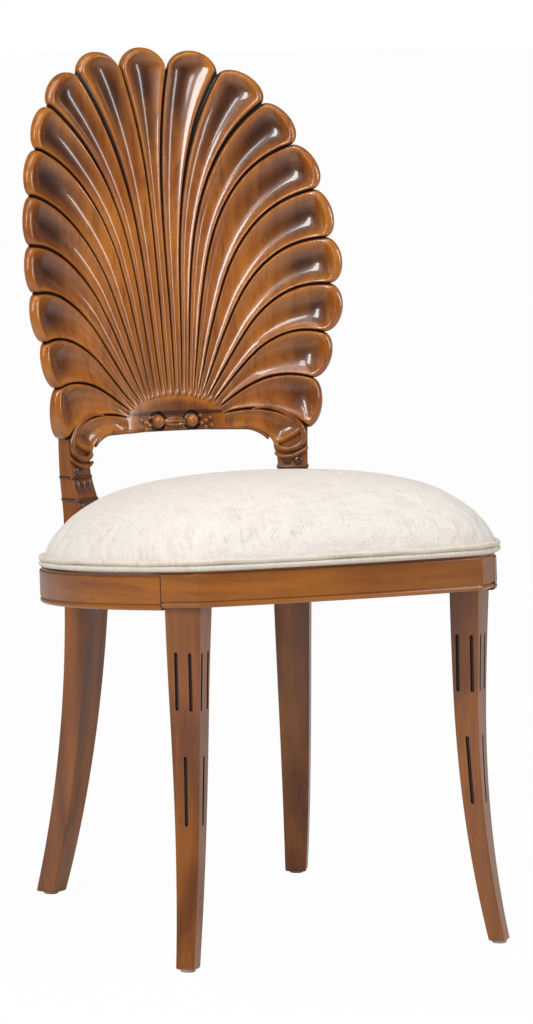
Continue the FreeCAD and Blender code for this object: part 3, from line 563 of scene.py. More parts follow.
def carvedBack():
    points, faces = [], []
    values = {"groove": [], "painted_shade_and_dark_tone": [], "crest": []}
    order = [-11] + [-i for i in range(10, 0, -1)] + list(range(1, 12))
    wall = [0.25, 0.55, 0.85]
    for left, right in zip(order[:-1], order[1:]):
        x, z, lift, back, masks = fluteGrid(left, right)
        columns = x.shape[1]
        layers = [shellPoints(x, z, lift).reshape(-1, 3)]
        for share in wall:
            layers.append(shellPoints(x[-1], z[-1], lift[-1] * (1 - share) + back[-1] * share))
        layers.append(shellPoints(x[::-1], z[::-1], back[::-1]).reshape(-1, 3))
        start = sum(len(p) for p in points)
        ring = np.concatenate(layers)
        rows = len(ring) // columns
        points.append(ring)
        faces += gridFaces(rows, columns, start, closedRows=True)
        frontRows = len(x)
        for edgeOpen, column in ((abs(left) == 11, 0), (abs(right) == 11, columns - 1)):
            if edgeOpen:  # the bottom edge of the back
                for r in range(frontRows - 1):
                    faces.append([start + r * columns + column, start + (r + 1) * columns + column,
                                  start + (rows - 2 - r) * columns + column,
                                  start + (rows - 1 - r) * columns + column])
                low, high = frontRows - 1, frontRows + len(wall)
                for r in range(low, high):
                    if r + 1 < high:
                        faces.append([start + r * columns + column, start + (r + 1) * columns + column,
                                      start + high * columns + column])
        for key in values:
            blank = np.zeros(columns * len(wall))
            behind = masks[key][::-1] * (0.8 if key == "groove" else 0.0)
            values[key].append(np.concatenate([masks[key].reshape(-1), blank, behind.reshape(-1)]))
    values = {k: np.concatenate(v) for k, v in values.items()}
    points, faces, values = weld(np.concatenate(points), faces, values)
    boards = ["left_outer", "left_inner", "centre", "right_inner", "right_outer"]
    return makePiece("carved_shell", toRow(points), faces, "carved",
                     ["back_board_" + name for name in boards], values)


hub = {"lift": 3.0, "dome": 1.2, "grow": 1.02, "ballRadius": 7.2, "ballSpacing": 45.0,
       "ballHeight": 565.0, "ballLift": 5.0, "ringRadius": 10.2, "ringWidth": 2.6, "ringDepth": 3.2,
       "rollRadius": 6.2, "rollDrop": 2.0, "rollLift": 3.0, "rollEnd": 8.0, "rollFlutes": 7,
       "fluteDepth": 0.16, "recess": 1.5, "beadLift": 3.2, "shadowHeight": 574.5, "shadowHalf": 3.5,
       "ballSink": 1.5, "lipDrop": 2.5, "lipReach": 4.0,
       "beads": [(34.5, 561, 3.4), (40.0, 564, 3.6), (45.5, 567, 3.4), (33.5, 570, 2.8),
                 (39.5, 556.5, 3.0), (46.5, 558.5, 3.0)]}


def hubPlate():
    wide, tall = hub["grow"] * shell["hubX"], hub["grow"] * shell["hubRise"]
    u = np.linspace(-1, 1, 121)[None, :]
    v = np.linspace(0, 1, 49)[:, None]
    x = wide * np.sin(u * math.pi / 2) + 0 * v
    arch = shell["hubHeight"] + tall * np.sqrt(np.maximum(0, 1 - (x / wide) ** 2))
    bottom = shell["bottom"] - 1.0
    z = bottom + (arch - bottom) * v
    above = np.maximum(0, z - shell["hubHeight"]) / tall
    ring = np.minimum(1.0, (x / wide) ** 2 + above ** 2)
    lift = hub["lift"] + hub["dome"] * (1 - ring)
    fromBall = np.minimum(*[np.hypot(x - s * hub["ballSpacing"] / 2, z - hub["ballHeight"]) for s in (-1, 1)])
    cut = np.clip(1 - np.abs(fromBall - hub["ringRadius"]) / hub["ringWidth"], 0, 1)
    lift = lift - hub["ringDepth"] * smoothStep(cut) - hub["ballSink"] * (fromBall < hub["ringRadius"])
    lift = lift - hub["lipDrop"] * np.clip(1 - (z - bottom) / hub["lipReach"], 0, 1) ** 2
    groove = smoothStep(cut * 1.3)
    front = shellPoints(x, z, lift)
    rear = shellPoints(x, z, hub["recess"] - shell["thickness"])
    rows, columns = x.shape
    points = np.concatenate([front.reshape(-1, 3), rear[::-1].reshape(-1, 3)])
    faces = gridFaces(2 * rows, columns, 0, closedRows=True)
    for c in (0, columns - 1):
        for r in range(rows - 1):
            faces.append([r * columns + c, (r + 1) * columns + c,
                          (2 * rows - 2 - r) * columns + c, (2 * rows - 1 - r) * columns + c])
    # a painted shadow band across the hub just above the balls; the plate is also made darker toward its
    # middle
    shadow = smoothStep(1 - np.abs(z - hub["shadowHeight"]) / hub["shadowHalf"])
    dark = 0.55 * smoothStep((0.95 - ring) / 0.5) + 0.9 * shadow
    values = {"groove": np.concatenate([groove.reshape(-1), np.zeros(groove.size)]),
              "painted_shade_and_dark_tone": np.concatenate([np.minimum(1.0, dark).reshape(-1), np.zeros(groove.size)]),
              "crest": np.zeros(2 * groove.size)}
    points, faces, values = weld(points, faces, values)
    return makePiece("hub_plate", toRow(points), faces, "carved", (), values)


def roundSolid(centre, radii, lobes=0, lobeDepth=0.0, axis=0, rings=20, around=32):
    # closed round body about an axis, with lengthwise flutes where lobes are asked for
    angle = np.linspace(0, math.pi, rings)[:, None]
    turn = np.linspace(0, 2 * math.pi, around, endpoint=False)[None, :]
    fluted = 1 + lobeDepth * np.cos(lobes * turn)
    parts = [radii[0] * -np.cos(angle) + 0 * turn, radii[1] * np.sin(angle) * np.cos(turn) * fluted,
             radii[2] * np.sin(angle) * np.sin(turn) * fluted]
    grid = np.stack([parts[(k - axis) % 3] for k in range(3)], -1) + np.array(centre)
    # painted shade in the flute valleys; balls and beads without flutes get none
    shade = np.clip(-np.cos(lobes * turn), 0, 1) * (lobes > 0) * np.sin(angle)
    return grid.reshape(-1, 3), gridFaces(rings, around, 0, closedColumns=True), shade.reshape(-1)


def hubOrnament():
    # two balls, the fluted roll between them and the small beads beside them
    half = hub["ballSpacing"] / 2
    bodies = []
    for side in (-1, 1):
        place = shellPoints(side * half, hub["ballHeight"], hub["ballLift"])
        bodies.append(roundSolid(place, [hub["ballRadius"]] * 3, axis=2, rings=24, around=36))
    knot = shellPoints(0.0, hub["ballHeight"] - hub["rollDrop"], hub["rollLift"])
    radii = [half - hub["rollEnd"], hub["rollRadius"], hub["rollRadius"]]
    bodies.append(roundSolid(knot, radii, hub["rollFlutes"], hub["fluteDepth"]))
    for side in (-1, 1):
        for x, z, size in hub["beads"]:
            place = shellPoints(side * x, z, hub["beadLift"])
            radii = [size * 0.8, size * 0.8, size * 1.1]
            bodies.append(roundSolid(place, radii, axis=2, rings=14, around=18))
    return gather("hub_balls", bodies)


carvedBack()
hubPlate()
hubOrnament()
print("carved back made")


# Legs

blockSide = turned(seat["blockWidth"], 0, seat["blockTurn"])
outerCorner = (seat["cornerX"], -seat["cornerY"])
seamPoint = (outerCorner[0] + blockSide[0], outerCorner[1] + blockSide[1])
blockInward = turned(0, 1, seat["blockTurn"])
blockDepth = seat["railThickness"] / math.cos(math.radians(seat["blockTurn"])) + 2.0
blockCentre = [(outerCorner[k] + seamPoint[k] + blockInward[k] * blockDepth) / 2 for k in (0, 1)]
railBottom = seat["height"] - seat["railHeight"]

frontLeg = {"inset": 1.5, "footOut": 20.0, "footForward": 43.0, "topWidth": 43.0, "topDepth": 35.0,
            "footWidth": 22.0, "footDepth": 19.5, "corner": 1.6, "slotWidth": 4.2, "slotDepth": 2.4,
            "slotSpacing": 17.0, "upperSlot": (289.0, 355.0), "lowerSlot": (160.0, 238.0),
            "sweepTop": 400.0, "sideSweepTop": 300.0}


def frontLegAt(z):
    leg = frontLeg
    x = blockCentre[0] - leg["inset"] + leg["footOut"] * shareOf(z, leg["sideSweepTop"], 2.3)
    y = blockCentre[1] - leg["inset"] - leg["footForward"] * shareOf(z, leg["sweepTop"], 2.2)
    rise = min(1.0, z / leg["sweepTop"])
    width = leg["footWidth"] + (leg["topWidth"] - leg["footWidth"]) * rise ** 1.15
    depth = leg["footDepth"] + (leg["topDepth"] - leg["footDepth"]) * rise ** 1.3
    return x, y, width, depth


# Rail profile, as points inward of the outer face and up from the bottom
railProfile = [(28.0, 0.0), (3.0, 0.0), (1.6, 0.25), (0.7, 0.9), (0.15, 1.9), (0.0, 3.0), (0.15, 4.2),
               (0.7, 5.3), (1.5, 5.9), (1.75, 6.3), (1.75, 6.9), (1.2, 7.3), (0.3, 7.5), (0.0, 7.9),
               (0.0, 22.0), (0.0, 36.4), (0.3, 37.1), (0.9, 37.5), (2.4, 37.6), (2.4, 40.0), (28.0, 40.0)]


def railMesh(outer, inner, bottom, depth=None):
    # outer and inner are matching plan points; the profile is swept between them
    outer, inner = np.array(outer, float), np.array(inner, float)
    across = inner - outer
    across /= np.linalg.norm(across, axis=1)[:, None]
    points = []
    for (x, y), (dx, dy) in zip(outer, across):
        for sunk, up in railProfile:
            if depth and sunk == railProfile[0][0]:
                sunk = depth
            points.append((x + dx * sunk, y + dy * sunk, bottom + up))
    return points, loftFaces(len(outer), len(railProfile))


def arcPoints(start, middle, end, count):
    # circle through three plan points
    a, b, c = [np.array(p, float) for p in (start, middle, end)]
    rows = np.array([b - a, c - a])
    half = np.array([((b @ b) - (a @ a)) / 2, ((c @ c) - (a @ a)) / 2])
    centre = np.linalg.solve(rows, half)
    angles = [math.atan2(*(p - centre)[::-1]) for p in (a, b, c)]
    for k in (1, 2):
        while angles[k] - angles[k - 1] > math.pi:
            angles[k] -= 2 * math.pi
        while angles[k] - angles[k - 1] < -math.pi:
            angles[k] += 2 * math.pi
    turn = np.linspace(angles[0], angles[2], count)
    radius = np.linalg.norm(a - centre)
    return centre + radius * np.stack([np.cos(turn), np.sin(turn)], -1)


def cutSlots(piece, side):
    # round-ended slots along the two outward faces
    leg = frontLeg
    cutters = []
    for face in ("outer", "side"):
        for low, high, offset in ((*leg["upperSlot"], -leg["slotSpacing"] / 2),
                                  (*leg["upperSlot"], leg["slotSpacing"] / 2),
                                  (*leg["lowerSlot"], 0.0)):
            ends = []
            for z in (low + leg["slotWidth"] / 2, high - leg["slotWidth"] / 2):
                x, y, width, depth = frontLegAt(z)
                outer = face == "outer"
                place = (offset, -depth / 2) if outer else (-width / 2, -offset)
                out = (0, -1) if outer else (-1, 0)
                shift = turned(*place, seat["blockTurn"])
                out = turned(*out, seat["blockTurn"])
                ends.append(Vector((x + shift[0], y + shift[1], z)))
            out = Vector((out[0], out[1], 0.0))
            along = (ends[1] - ends[0]).normalized()
            across = out.cross(along).normalized()
            out = along.cross(across)
            ring = []
            for end, first in ((ends[0], math.pi), (ends[1], 0.0)):
                for step in range(9):
                    angle = first + math.pi * step / 8
                    spoke = across * math.cos(angle) + along * math.sin(angle)
                    ring.append(end + spoke * leg["slotWidth"] / 2)
            rows = []
            middle = (ends[0] + ends[1]) / 2
            depths = ((-leg["slotDepth"], 0.62), (-leg["slotDepth"] * 0.6, 0.9), (0.0, 1.0), (4.0, 1.1))
            for rise, shrink in depths:
                for p in ring:
                    inner = p - (p - middle).dot(across) * across * (1 - shrink)
                    rows.append(tuple(inner + out * rise))
            points = toRow(flipSide(rows, side))
            cutter = looseMesh("slot", points, loftFaces(4, len(ring)))
            # the slot walls take the near-black finish, painted shade in the cut
            cutter.data.materials.append(finishes["slot"])
            cutters.append(cutter)
    for cutter in cutters:
        carve = piece.modifiers.new("slot", "BOOLEAN")
        carve.object = cutter
        carve.operation = "DIFFERENCE"
        carve.solver = "EXACT"
        carve.material_mode = "TRANSFER"
    piece.data.materials.append(finishes["leg"])
    settle(piece)
    for cutter in cutters:
        bpy.data.objects.remove(cutter)


def settle(piece):
    # the evaluated shape becomes the piece's own plain mesh
    graph = bpy.context.evaluated_depsgraph_get()
    mesh = bpy.data.meshes.new_from_object(piece.evaluated_get(graph))
    piece.modifiers.clear()
    piece.data = mesh


def finishHard(piece, finish, replaced, angle=35):
    piece.data.shade_smooth()
    piece.data.set_sharp_from_angle(angle=math.radians(angle))
    flattenShading(piece)
    return dress(piece, finish, replaced)


def legLevels(top, count):
    # heights of a leg's sections, with how far each is drawn in: the foot's lower edge is rounded
    foot = rearLeg["footHeight"]
    above = [(z, 0.0) for z in np.linspace(8.0, top, count)]
    return [(foot, 2.4), (foot + 0.7, 0.8), (foot + 2.0, 0.0)] + above


def frontLegPiece(name, side):
    points = []
    levels = legLevels(railBottom + 0.8, 60)
    for z, draw in levels:
        x, y, width, depth = frontLegAt(z)
        ring = roundedSection(x, y, width - draw, depth - draw, seat["blockTurn"], frontLeg["corner"])
        points += [(px, py, z) for px, py in ring]
    faces = loftFaces(len(levels), sectionPoints)
    piece = looseMesh("leg_front_" + name, toRow(flipSide(points, side)), faces)
    cutSlots(piece, side)
    along = np.linspace(0, 1, 6)[:, None]
    outer = np.array(outerCorner) + (np.array(seamPoint) - np.array(outerCorner)) * along
    inner = outer + np.array(blockInward) * blockDepth
    points, faces = railMesh(outer, inner, railBottom, blockDepth)
    head = looseMesh("leg_head_" + name, toRow(flipSide(points, side), True), faces)
    finishHard(head, "rail", ())
    return finishHard(piece, "leg", ["front_leg_" + name])


stile = {"waistZ": 509.0, "waistWidth": 36.0, "waistDepth": 20.0, "turn": 26.5, "jointDepth": 17.0,
         "above": 22.0, "below": 42.0, "ramp": 4.0}


def stileKeys():
    # centre, width, depth, turn and slant of the stile's sections, from the square zone up
    top = seat["height"] - stile["above"]
    middleX = (shell["footX"] + notches[-1][0]) / 2
    slant = (notches[-1][1] - shell["footZ"]) / (notches[-1][0] - shell["footX"])
    waist = shellPoints(middleX, stile["waistZ"], -shell["thickness"] / 2)
    jointZ = (notches[-1][1] + shell["footZ"]) / 2
    upper = shellPoints(middleX, jointZ, -stile["jointDepth"] / 2)
    leg = rearLeg
    return [
        (top, leg["x"], leg["y"], leg["topWidth"], leg["topDepth"], leg["turn"], 0.0),
        (top + 35.0, leg["x"] + 1.5, leg["y"] + 7.0, leg["topWidth"] - 3.0, leg["topDepth"] - 8.0,
         leg["turn"], 0.0),
        (stile["waistZ"], waist[0], waist[1], stile["waistWidth"], stile["waistDepth"], stile["turn"], 0.0),
        (jointZ, upper[0], upper[1], (notches[-1][0] - shell["footX"]) * 1.12, stile["jointDepth"],
         stile["turn"], slant),
    ]


def rearLegPiece(name, side):
    leg = rearLeg
    zoneBottom = railBottom - stile["below"]
    zoneTop = seat["height"] - stile["above"]
    rows = []
    for z, draw in legLevels(zoneBottom, 50):
        x, y, width, depth = rearLegAt(z)
        rows.append((z, x, y, width - draw, depth - draw, leg["turn"], 0.0))
    for z in (zoneBottom + stile["ramp"], (zoneBottom + zoneTop) / 2):
        rows.append((z, leg["x"], leg["y"], leg["topWidth"], leg["topDepth"], leg["turn"], 0.0))
    rows += smoothKeys(stileKeys(), 60)
    points = []
    for z, x, y, width, depth, turn, slant in rows:
        for px, py in roundedSection(x, y, width, depth, -turn, leg["corner"]):
            points.append((px, py, z + slant * (px - x)))
    faces = loftFaces(len(rows), sectionPoints)
    piece = looseMesh("leg_rear_" + name, toRow(flipSide(points, side)), faces)
    return finishHard(piece, "leg", ["rear_leg_" + name])


scroll = {
    "curl": [(96, 576), (112, 579), (129, 575), (143, 565), (150.5, 554), (152, 543), (146.5, 533),
             (134, 528), (125, 530), (121, 536)],
    "curlRadius": [1.0, 2.2, 3.0, 3.6, 4.0, 4.0, 3.8, 3.4, 3.0, 2.2], "curlLift": 2.6,
    "wrap": [(119, 524), (127, 519.5), (138, 520), (148, 525), (156, 531)],
    "wrapRadius": [2.0, 2.6, 2.8, 2.6, 2.0], "wrapLift": 1.0,
    "foot": [(31, 555), (52, 554.5), (75, 554.5), (94, 554), (107, 548), (114, 540)],
    "footRadius": [1.6, 2.2, 2.6, 3.0, 2.8, 1.6], "footLift": 0.2, "endRound": 12,
}


def rollAlong(path, radii, lift, side, steps=70, around=14):
    # round moulding along a line on the shell, thinner where its radii are smaller
    keys = [(x, z, r) for (x, z), r in zip(path, radii)]
    rows = np.array(smoothKeys(keys, steps))
    centre = shellPoints(rows[:, 0], rows[:, 1], lift)
    out = shellPoints(rows[:, 0], rows[:, 1], lift + 1.0) - centre
    along = np.gradient(centre, axis=0)
    along /= np.linalg.norm(along, axis=1)[:, None]
    across = np.cross(along, out)
    across /= np.linalg.norm(across, axis=1)[:, None]
    near = np.linspace(0, scroll["endRound"], steps)
    ends = np.minimum(1.0, np.sqrt(near * near[::-1] / 6) + 0.02)
    turn = np.linspace(0, 2 * math.pi, around, endpoint=False)
    points = []
    for k in range(steps):
        size = rows[k, 2] * ends[k]
        for a in turn:
            points.append(centre[k] + (across[k] * math.cos(a) + out[k] * math.sin(a)) * size)
    points = np.array(points)
    points[:, 0] *= side
    # painted shade on the side of each roll that turns in toward the shell
    shade = np.tile(np.clip(1 - (np.sin(turn) + 0.35) * 2.2, 0, 1), steps)
    return points, loftFaces(steps, around), shade


def scrollCarving():
    for name, side in sideNames.items():
        bodies = [rollAlong(scroll[line], scroll[line + "Radius"], scroll[line + "Lift"], side)
                  for line in ("curl", "wrap", "foot")]
        gather("scroll_" + name, bodies, 0.35)


# The leaf-like lumps stand beside, above and below the bands: shift, height, half height and half width
carving = {
    "bandHeights": (507.0, 481.0), "bandCorner": 3.0, "leafDepth": 3.4, "leafSink": 1.2, "leafShadeReach": 2.2,
    # band rows: rise, growth, and painted shade where the band meets the stile
    "bandProfile": [(-2.0, 0.0, 1.0), (-1.2, 1.6, 0.4), (0.0, 2.2, 0.0), (1.2, 1.6, 0.4), (2.0, 0.0, 1.0)],
    "leaves": [(-10.5, 494, 11.0, 5.6), (0.0, 493, 12.0, 6.0), (10.5, 494, 11.0, 5.6), (-6.0, 515, 7.0, 6.5),
               (7.0, 514, 6.0, 6.0), (-9.0, 470, 8.0, 6.0), (1.5, 467, 10.0, 6.0), (11.5, 471, 8.0, 5.0)],
}


def stileAt(z):
    # centre, width, depth and turn of the stile at a height
    keys = np.array(stileKeys())
    return [np.interp(z, keys[:, 0], keys[:, k]) for k in range(1, 6)]


def stileBand(level):
    rows = []
    for rise, grow, _ in carving["bandProfile"]:
        x, y, width, depth, turn = stileAt(level + rise)
        ring = roundedSection(x, y, width + grow, depth + grow, -turn, carving["bandCorner"])
        rows += [(px, py, level + rise) for px, py in ring]
    # painted shade along the band's edges, where it meets the stile
    shade = np.repeat([glazeAndShade for _, _, glazeAndShade in carving["bandProfile"]], sectionPoints)
    return rows, loftFaces(len(carving["bandProfile"]), sectionPoints), shade


def stileLeaf(shift, level, tall, wide):
    x, y, _, depth, turn = stileAt(level)
    dx, dy = turned(shift, carving["leafSink"] - depth / 2, -turn)
    points, faces, _ = roundSolid((0, 0, 0), (wide, carving["leafDepth"], tall))
    # painted shade round the leaf's rim, where it sinks into the stile
    shade = np.clip(1 - np.abs(points[:, 1]) / carving["leafShadeReach"], 0, 1)
    px, py = turned(points[:, 0], points[:, 1], -turn)
    return np.stack([x + dx + px, y + dy + py, level + points[:, 2]], -1), faces, shade


def stileCarving():
    # two bands round each stile and leaf-like lumps between them
    for name, side in sideNames.items():
        bodies = [stileBand(level) for level in carving["bandHeights"]]
        bodies += [stileLeaf(*leaf) for leaf in carving["leaves"]]
        gather("stile_carving_" + name, [(flipSide(b[0], side), b[1], b[2]) for b in bodies], 0.8)


for sideName, sideSign in sideNames.items():
    frontLegPiece(sideName, sideSign)
    rearLegPiece(sideName, sideSign)
scrollCarving()
stileCarving()
print("legs and scrolls made")


# Seat rails

rearOutward = turned(1, 0, -rearLeg["turn"])
rearBehind = turned(0, 1, -rearLeg["turn"])


def rearBlockPoint(across, back):
    return (rearLeg["x"] + rearOutward[0] * across + rearBehind[0] * back,
            rearLeg["y"] + rearOutward[1] * across + rearBehind[1] * back)


def railPieces():
    thick = seat["railThickness"]
    reach = thick / blockInward[1]
    innerCorner = (outerCorner[0] + blockInward[0] * reach, outerCorner[1] + blockInward[1] * reach)
    front = -seat["cornerY"] - seat["frontBow"]
    outer = arcPoints((-seat["cornerX"], -seat["cornerY"]), (0, front), outerCorner, 49)
    inner = arcPoints((-innerCorner[0], innerCorner[1]), (0, front + thick), innerCorner, 49)
    points, faces = railMesh(outer, inner, railBottom)
    rail = looseMesh("rail_front", toRow(points, True), faces)
    finishHard(rail, "rail", ["front_rail"])
    low = railBottom - seat["sideDrop"]
    startInner = (seamPoint[0] + blockInward[0] * thick, seamPoint[1] + blockInward[1] * thick)
    outer = arcPoints(seamPoint, (seat["halfWidth"], seat["widestY"]),
                      rearBlockPoint(rearLeg["topWidth"] / 2, thick / 2), 65)
    inner = arcPoints(startInner, (seat["halfWidth"] - thick, seat["widestY"]),
                      rearBlockPoint(rearLeg["topWidth"] / 2, -thick / 2), 65)
    for name, side in sideNames.items():
        points, faces = railMesh(outer, inner, low)
        rail = looseMesh("rail_side_" + name, toRow(flipSide(points, side), True), faces)
        finishHard(rail, "rail", ["side_rail_" + name])


jointLine = {"inward": 0.9, "width": 1.1, "depth": 2.2, "corner": 0.2, "above": 0.6, "below": 2.6}


def seamLines():
    # the dark joint line where each side rail meets the square head of the front leg
    line = jointLine
    x, y = [seamPoint[k] + blockInward[k] * line["inward"] for k in (0, 1)]
    ring = roundedSection(x, y, line["width"], line["depth"], seat["blockTurn"], line["corner"])
    levels = (railBottom + line["above"], seat["height"] - line["below"])
    points = [(px, py, z) for z in levels for px, py in ring]
    for name, side in sideNames.items():
        seam = looseMesh("joint_line_" + name, toRow(flipSide(points, side), True), loftFaces(2, len(ring)))
        finishHard(seam, "slot", ())


def dressNodes():
    # pieces whose own shape is right get only their finish
    ends = [end + "_" + name for end in ("front", "rear") for name in sideNames]
    kept = {"rail": ["rear_rail"], "brace": ["corner_brace_" + end for end in ends],
            "dowel": ["rail_dowels", "stile_dowels", "back_seam_dowels"], "plywood": ["seat_board"],
            "steel": ["brace_screws", "seat_screws"], "wire": ["cover_staples"],
            "glide": ["glide_" + end for end in ends]}
    for finish, names in kept.items():
        for name in names:
            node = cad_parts[name]
            node.data.materials.clear()
            node.data.materials.append(finishes[finish])


railPieces()
seamLines()
dressNodes()
print("rails made")


# Cushion

pad = {"front": 214.0, "halfWidth": 263.0, "back": 240.0, "crown": 98.0, "swell": 3.0,
       "crownPower": 2.1, "sidePower": 2.7, "rings": 34, "around": 180,
       "cap": 6.0, "voxel": 0.005, "pressure": 4.0, "heldBelow": 12.0, "stiffness": 25, "frames": 20}
welt = {"diameter": 6.4, "above": 0.5, "between": 0.2, "sink": 1.2, "around": 14, "points": 420}
dust = {"inset": 24.0, "above": 1.1, "sag": 0.225, "rings": 21, "points": 120}
stitch = {"count": 330, "out": 2.6, "above": 0.1, "radii": (1.9, 0.55, 0.6), "smallest": 0.85, "largest": 1.1}


def padOutline(count):
    # smooth closed outline through a few plan points, as x and y
    right = [(75.0, -pad["front"] + 2), (136.0, -pad["front"] + 8),
             (seat["cornerX"] - 3, -seat["cornerY"] + 3), (seamPoint[0] - 2, seamPoint[1] - 1),
             (pad["halfWidth"] - 15, -88.0), (pad["halfWidth"], seat["widestY"]),
             (pad["halfWidth"] - 17, 88.0), (pad["halfWidth"] - 63, 150.0),
             (150.0, pad["back"] - 53), (120.0, pad["back"] - 37), (62.0, pad["back"] - 14)]
    keys = np.array([(0.0, -pad["front"])] + right + [(0.0, pad["back"])] + [(-x, y) for x, y in right[::-1]])
    gaps = np.linalg.norm(np.roll(keys, -1, 0) - keys, axis=1)
    total = len(keys)
    system = np.zeros((total, total))
    goal = np.zeros((total, 2))
    for i in range(total):  # periodic cubic spline through the keys
        before, after = gaps[i - 1], gaps[i]
        system[i, i - 1] += before
        system[i, i] += 2 * (before + after)
        system[i, (i + 1) % total] += after
        goal[i] = 6 * ((keys[(i + 1) % total] - keys[i]) / after - (keys[i] - keys[i - 1]) / before)
    bend = np.linalg.solve(system, goal)
    run = np.concatenate([[0], np.cumsum(gaps)])
    line = []
    for value in np.linspace(0, run[-1], count, endpoint=False):
        i = min(int(np.searchsorted(run, value, "right")) - 1, total - 1)
        h, t = gaps[i], value - run[i]
        j = (i + 1) % total
        line.append((bend[i] * (h - t) ** 3 + bend[j] * t ** 3) / (6 * h)
                    + (keys[i] / h - bend[i] * h / 6) * (h - t) + (keys[j] / h - bend[j] * h / 6) * t)
    return np.array(line)


def cushion():
    outline = padOutline(pad["around"])
    away = outline / np.linalg.norm(outline, axis=1)[:, None]
    base = seat["height"] + 1.0
    points = []
    for scale in (0.02, 0.3, 0.6, 0.85, 0.96):
        points += [(x, y, base) for x, y in outline * scale]
    shares = np.sin(np.linspace(0, math.pi / 2, pad["rings"]))
    shares[-1] = 0.99998
    for share in shares:
        scale = (1 - share ** pad["crownPower"]) ** (1 / pad["sidePower"])
        swell = pad["swell"] * math.sin(math.pi * min(1.0, share / 0.5)) - 1.0
        ring = (outline + away * swell) * scale
        z = base + share * (pad["crown"] - 2.0)
        points += [(x, y, z) for x, y in ring]
    around, rows = pad["around"], len(points) // pad["around"]
    faces = gridFaces(rows, around, 0, closedColumns=True)
    for row in (0, rows - 1):  # each end closes on a middle point
        ring = points[row * around:(row + 1) * around]
        points.append(tuple(np.mean(ring, axis=0)))
        faces += [[len(points) - 1, row * around + k, row * around + (k + 1) % around] for k in range(around)]
    piece = looseMesh("seat_cushion", toRow(points, True), faces)
    puff(piece)
    rounder = piece.modifiers.new("soft", "SUBSURF")
    rounder.levels = rounder.render_levels = 1
    settle(piece)
    piece.data.shade_smooth()
    dress(piece, "linen", ["seat_cover", "seat_foam", "seat_wadding"])
    return piece


def puff(piece):
    # light pressure tightens the cover over the filling; the foot of the pad is held by its staples
    remesh = piece.modifiers.new("voxels", "REMESH")
    remesh.mode = "VOXEL"
    remesh.voxel_size = pad["voxel"]
    settle(piece)
    count = len(piece.data.vertices)
    start = np.empty(count * 3)
    piece.data.vertices.foreach_get("co", start)
    start = start.reshape(-1, 3)
    slope = math.tan(math.radians(seat["slope"]))
    level = start[:, 2] + (start[:, 1] - toRow([(0, -seat["cornerY"], 0)])[0][1]) * slope
    height = (level - seat["height"] * mm) / mm
    held = piece.vertex_groups.new(name="held")
    for index in np.nonzero(height < pad["heldBelow"])[0]:
        held.add([int(index)], 1.0, "REPLACE")
    cloth = piece.modifiers.new("cover", "CLOTH")
    cloth.settings.effector_weights.gravity = 0.0
    cloth.settings.use_pressure = True
    cloth.settings.uniform_pressure_force = pad["pressure"]
    cloth.settings.vertex_group_mass = "held"
    cloth.settings.tension_stiffness = pad["stiffness"]
    cloth.settings.compression_stiffness = pad["stiffness"]
    cloth.settings.quality = 6
    cloth.point_cache.frame_start, cloth.point_cache.frame_end = 1, pad["frames"]
    for number in range(1, pad["frames"] + 1):
        scene.frame_set(number)
    settle(piece)
    end = np.empty(count * 3)
    piece.data.vertices.foreach_get("co", end)
    move = end.reshape(-1, 3) - start
    far = np.linalg.norm(move, axis=1)
    limit = pad["cap"] * mm
    move *= np.minimum(1.0, limit / np.maximum(far, 1e-9))[:, None]
    piece.data.vertices.foreach_set("co", (start + move).reshape(-1))
    scene.frame_set(1)


def weltCords():
    outline = padOutline(welt["points"])
    away = outline / np.linalg.norm(outline, axis=1)[:, None]
    radius = welt["diameter"] / 2
    angle = np.linspace(0, 2 * math.pi, welt["around"], endpoint=False)
    turn = np.linspace(0, 2 * math.pi, len(outline), endpoint=False)
    for number, name in enumerate(("lower", "upper")):
        middle = seat["height"] + welt["above"] + radius + number * (welt["diameter"] + welt["between"])
        wave = 0.5 * np.sin(turn * 9 + number) + 0.35 * np.sin(turn * 23 + 2 * number)
        points = []
        for k in range(len(outline)):
            x, y = outline[k] + away[k] * (radius - welt["sink"])
            for a in angle:
                out = radius * math.cos(a)
                points.append((x + away[k][0] * out, y + away[k][1] * out,
                               middle + wave[k] * number + radius * math.sin(a)))
        faces = gridFaces(len(outline), len(angle), 0, closedRows=True, closedColumns=True)
        cord = looseMesh("welt_" + name, toRow(points, True), faces)
        cord.data.shade_smooth()
        dress(cord, "welt", ["welt_cord_" + name])


def dustCover():
    # black cloth stretched under the seat board, sagging a little between its staples
    outline = padOutline(dust["points"])
    length = np.linalg.norm(outline, axis=1)
    outline = outline * ((length - dust["inset"]) / length)[:, None]
    points = []
    level = seat["height"] + dust["above"]
    for share in np.linspace(0.0, 1.0, dust["rings"] + 1)[1:]:
        points += [(x, y, level - dust["sag"] * (1 - share * share)) for x, y in outline * share]
    around = len(outline)
    faces = gridFaces(dust["rings"], around, 0, closedColumns=True)
    points.append((0.0, 0.0, level - dust["sag"]))
    faces += [[len(points) - 1, k, (k + 1) % around] for k in range(around)]
    sheet = looseMesh("dust_sheet", toRow(points, True), faces)
    sheet.data.shade_smooth()
    dress(sheet, "cambric", ["dust_cover"])


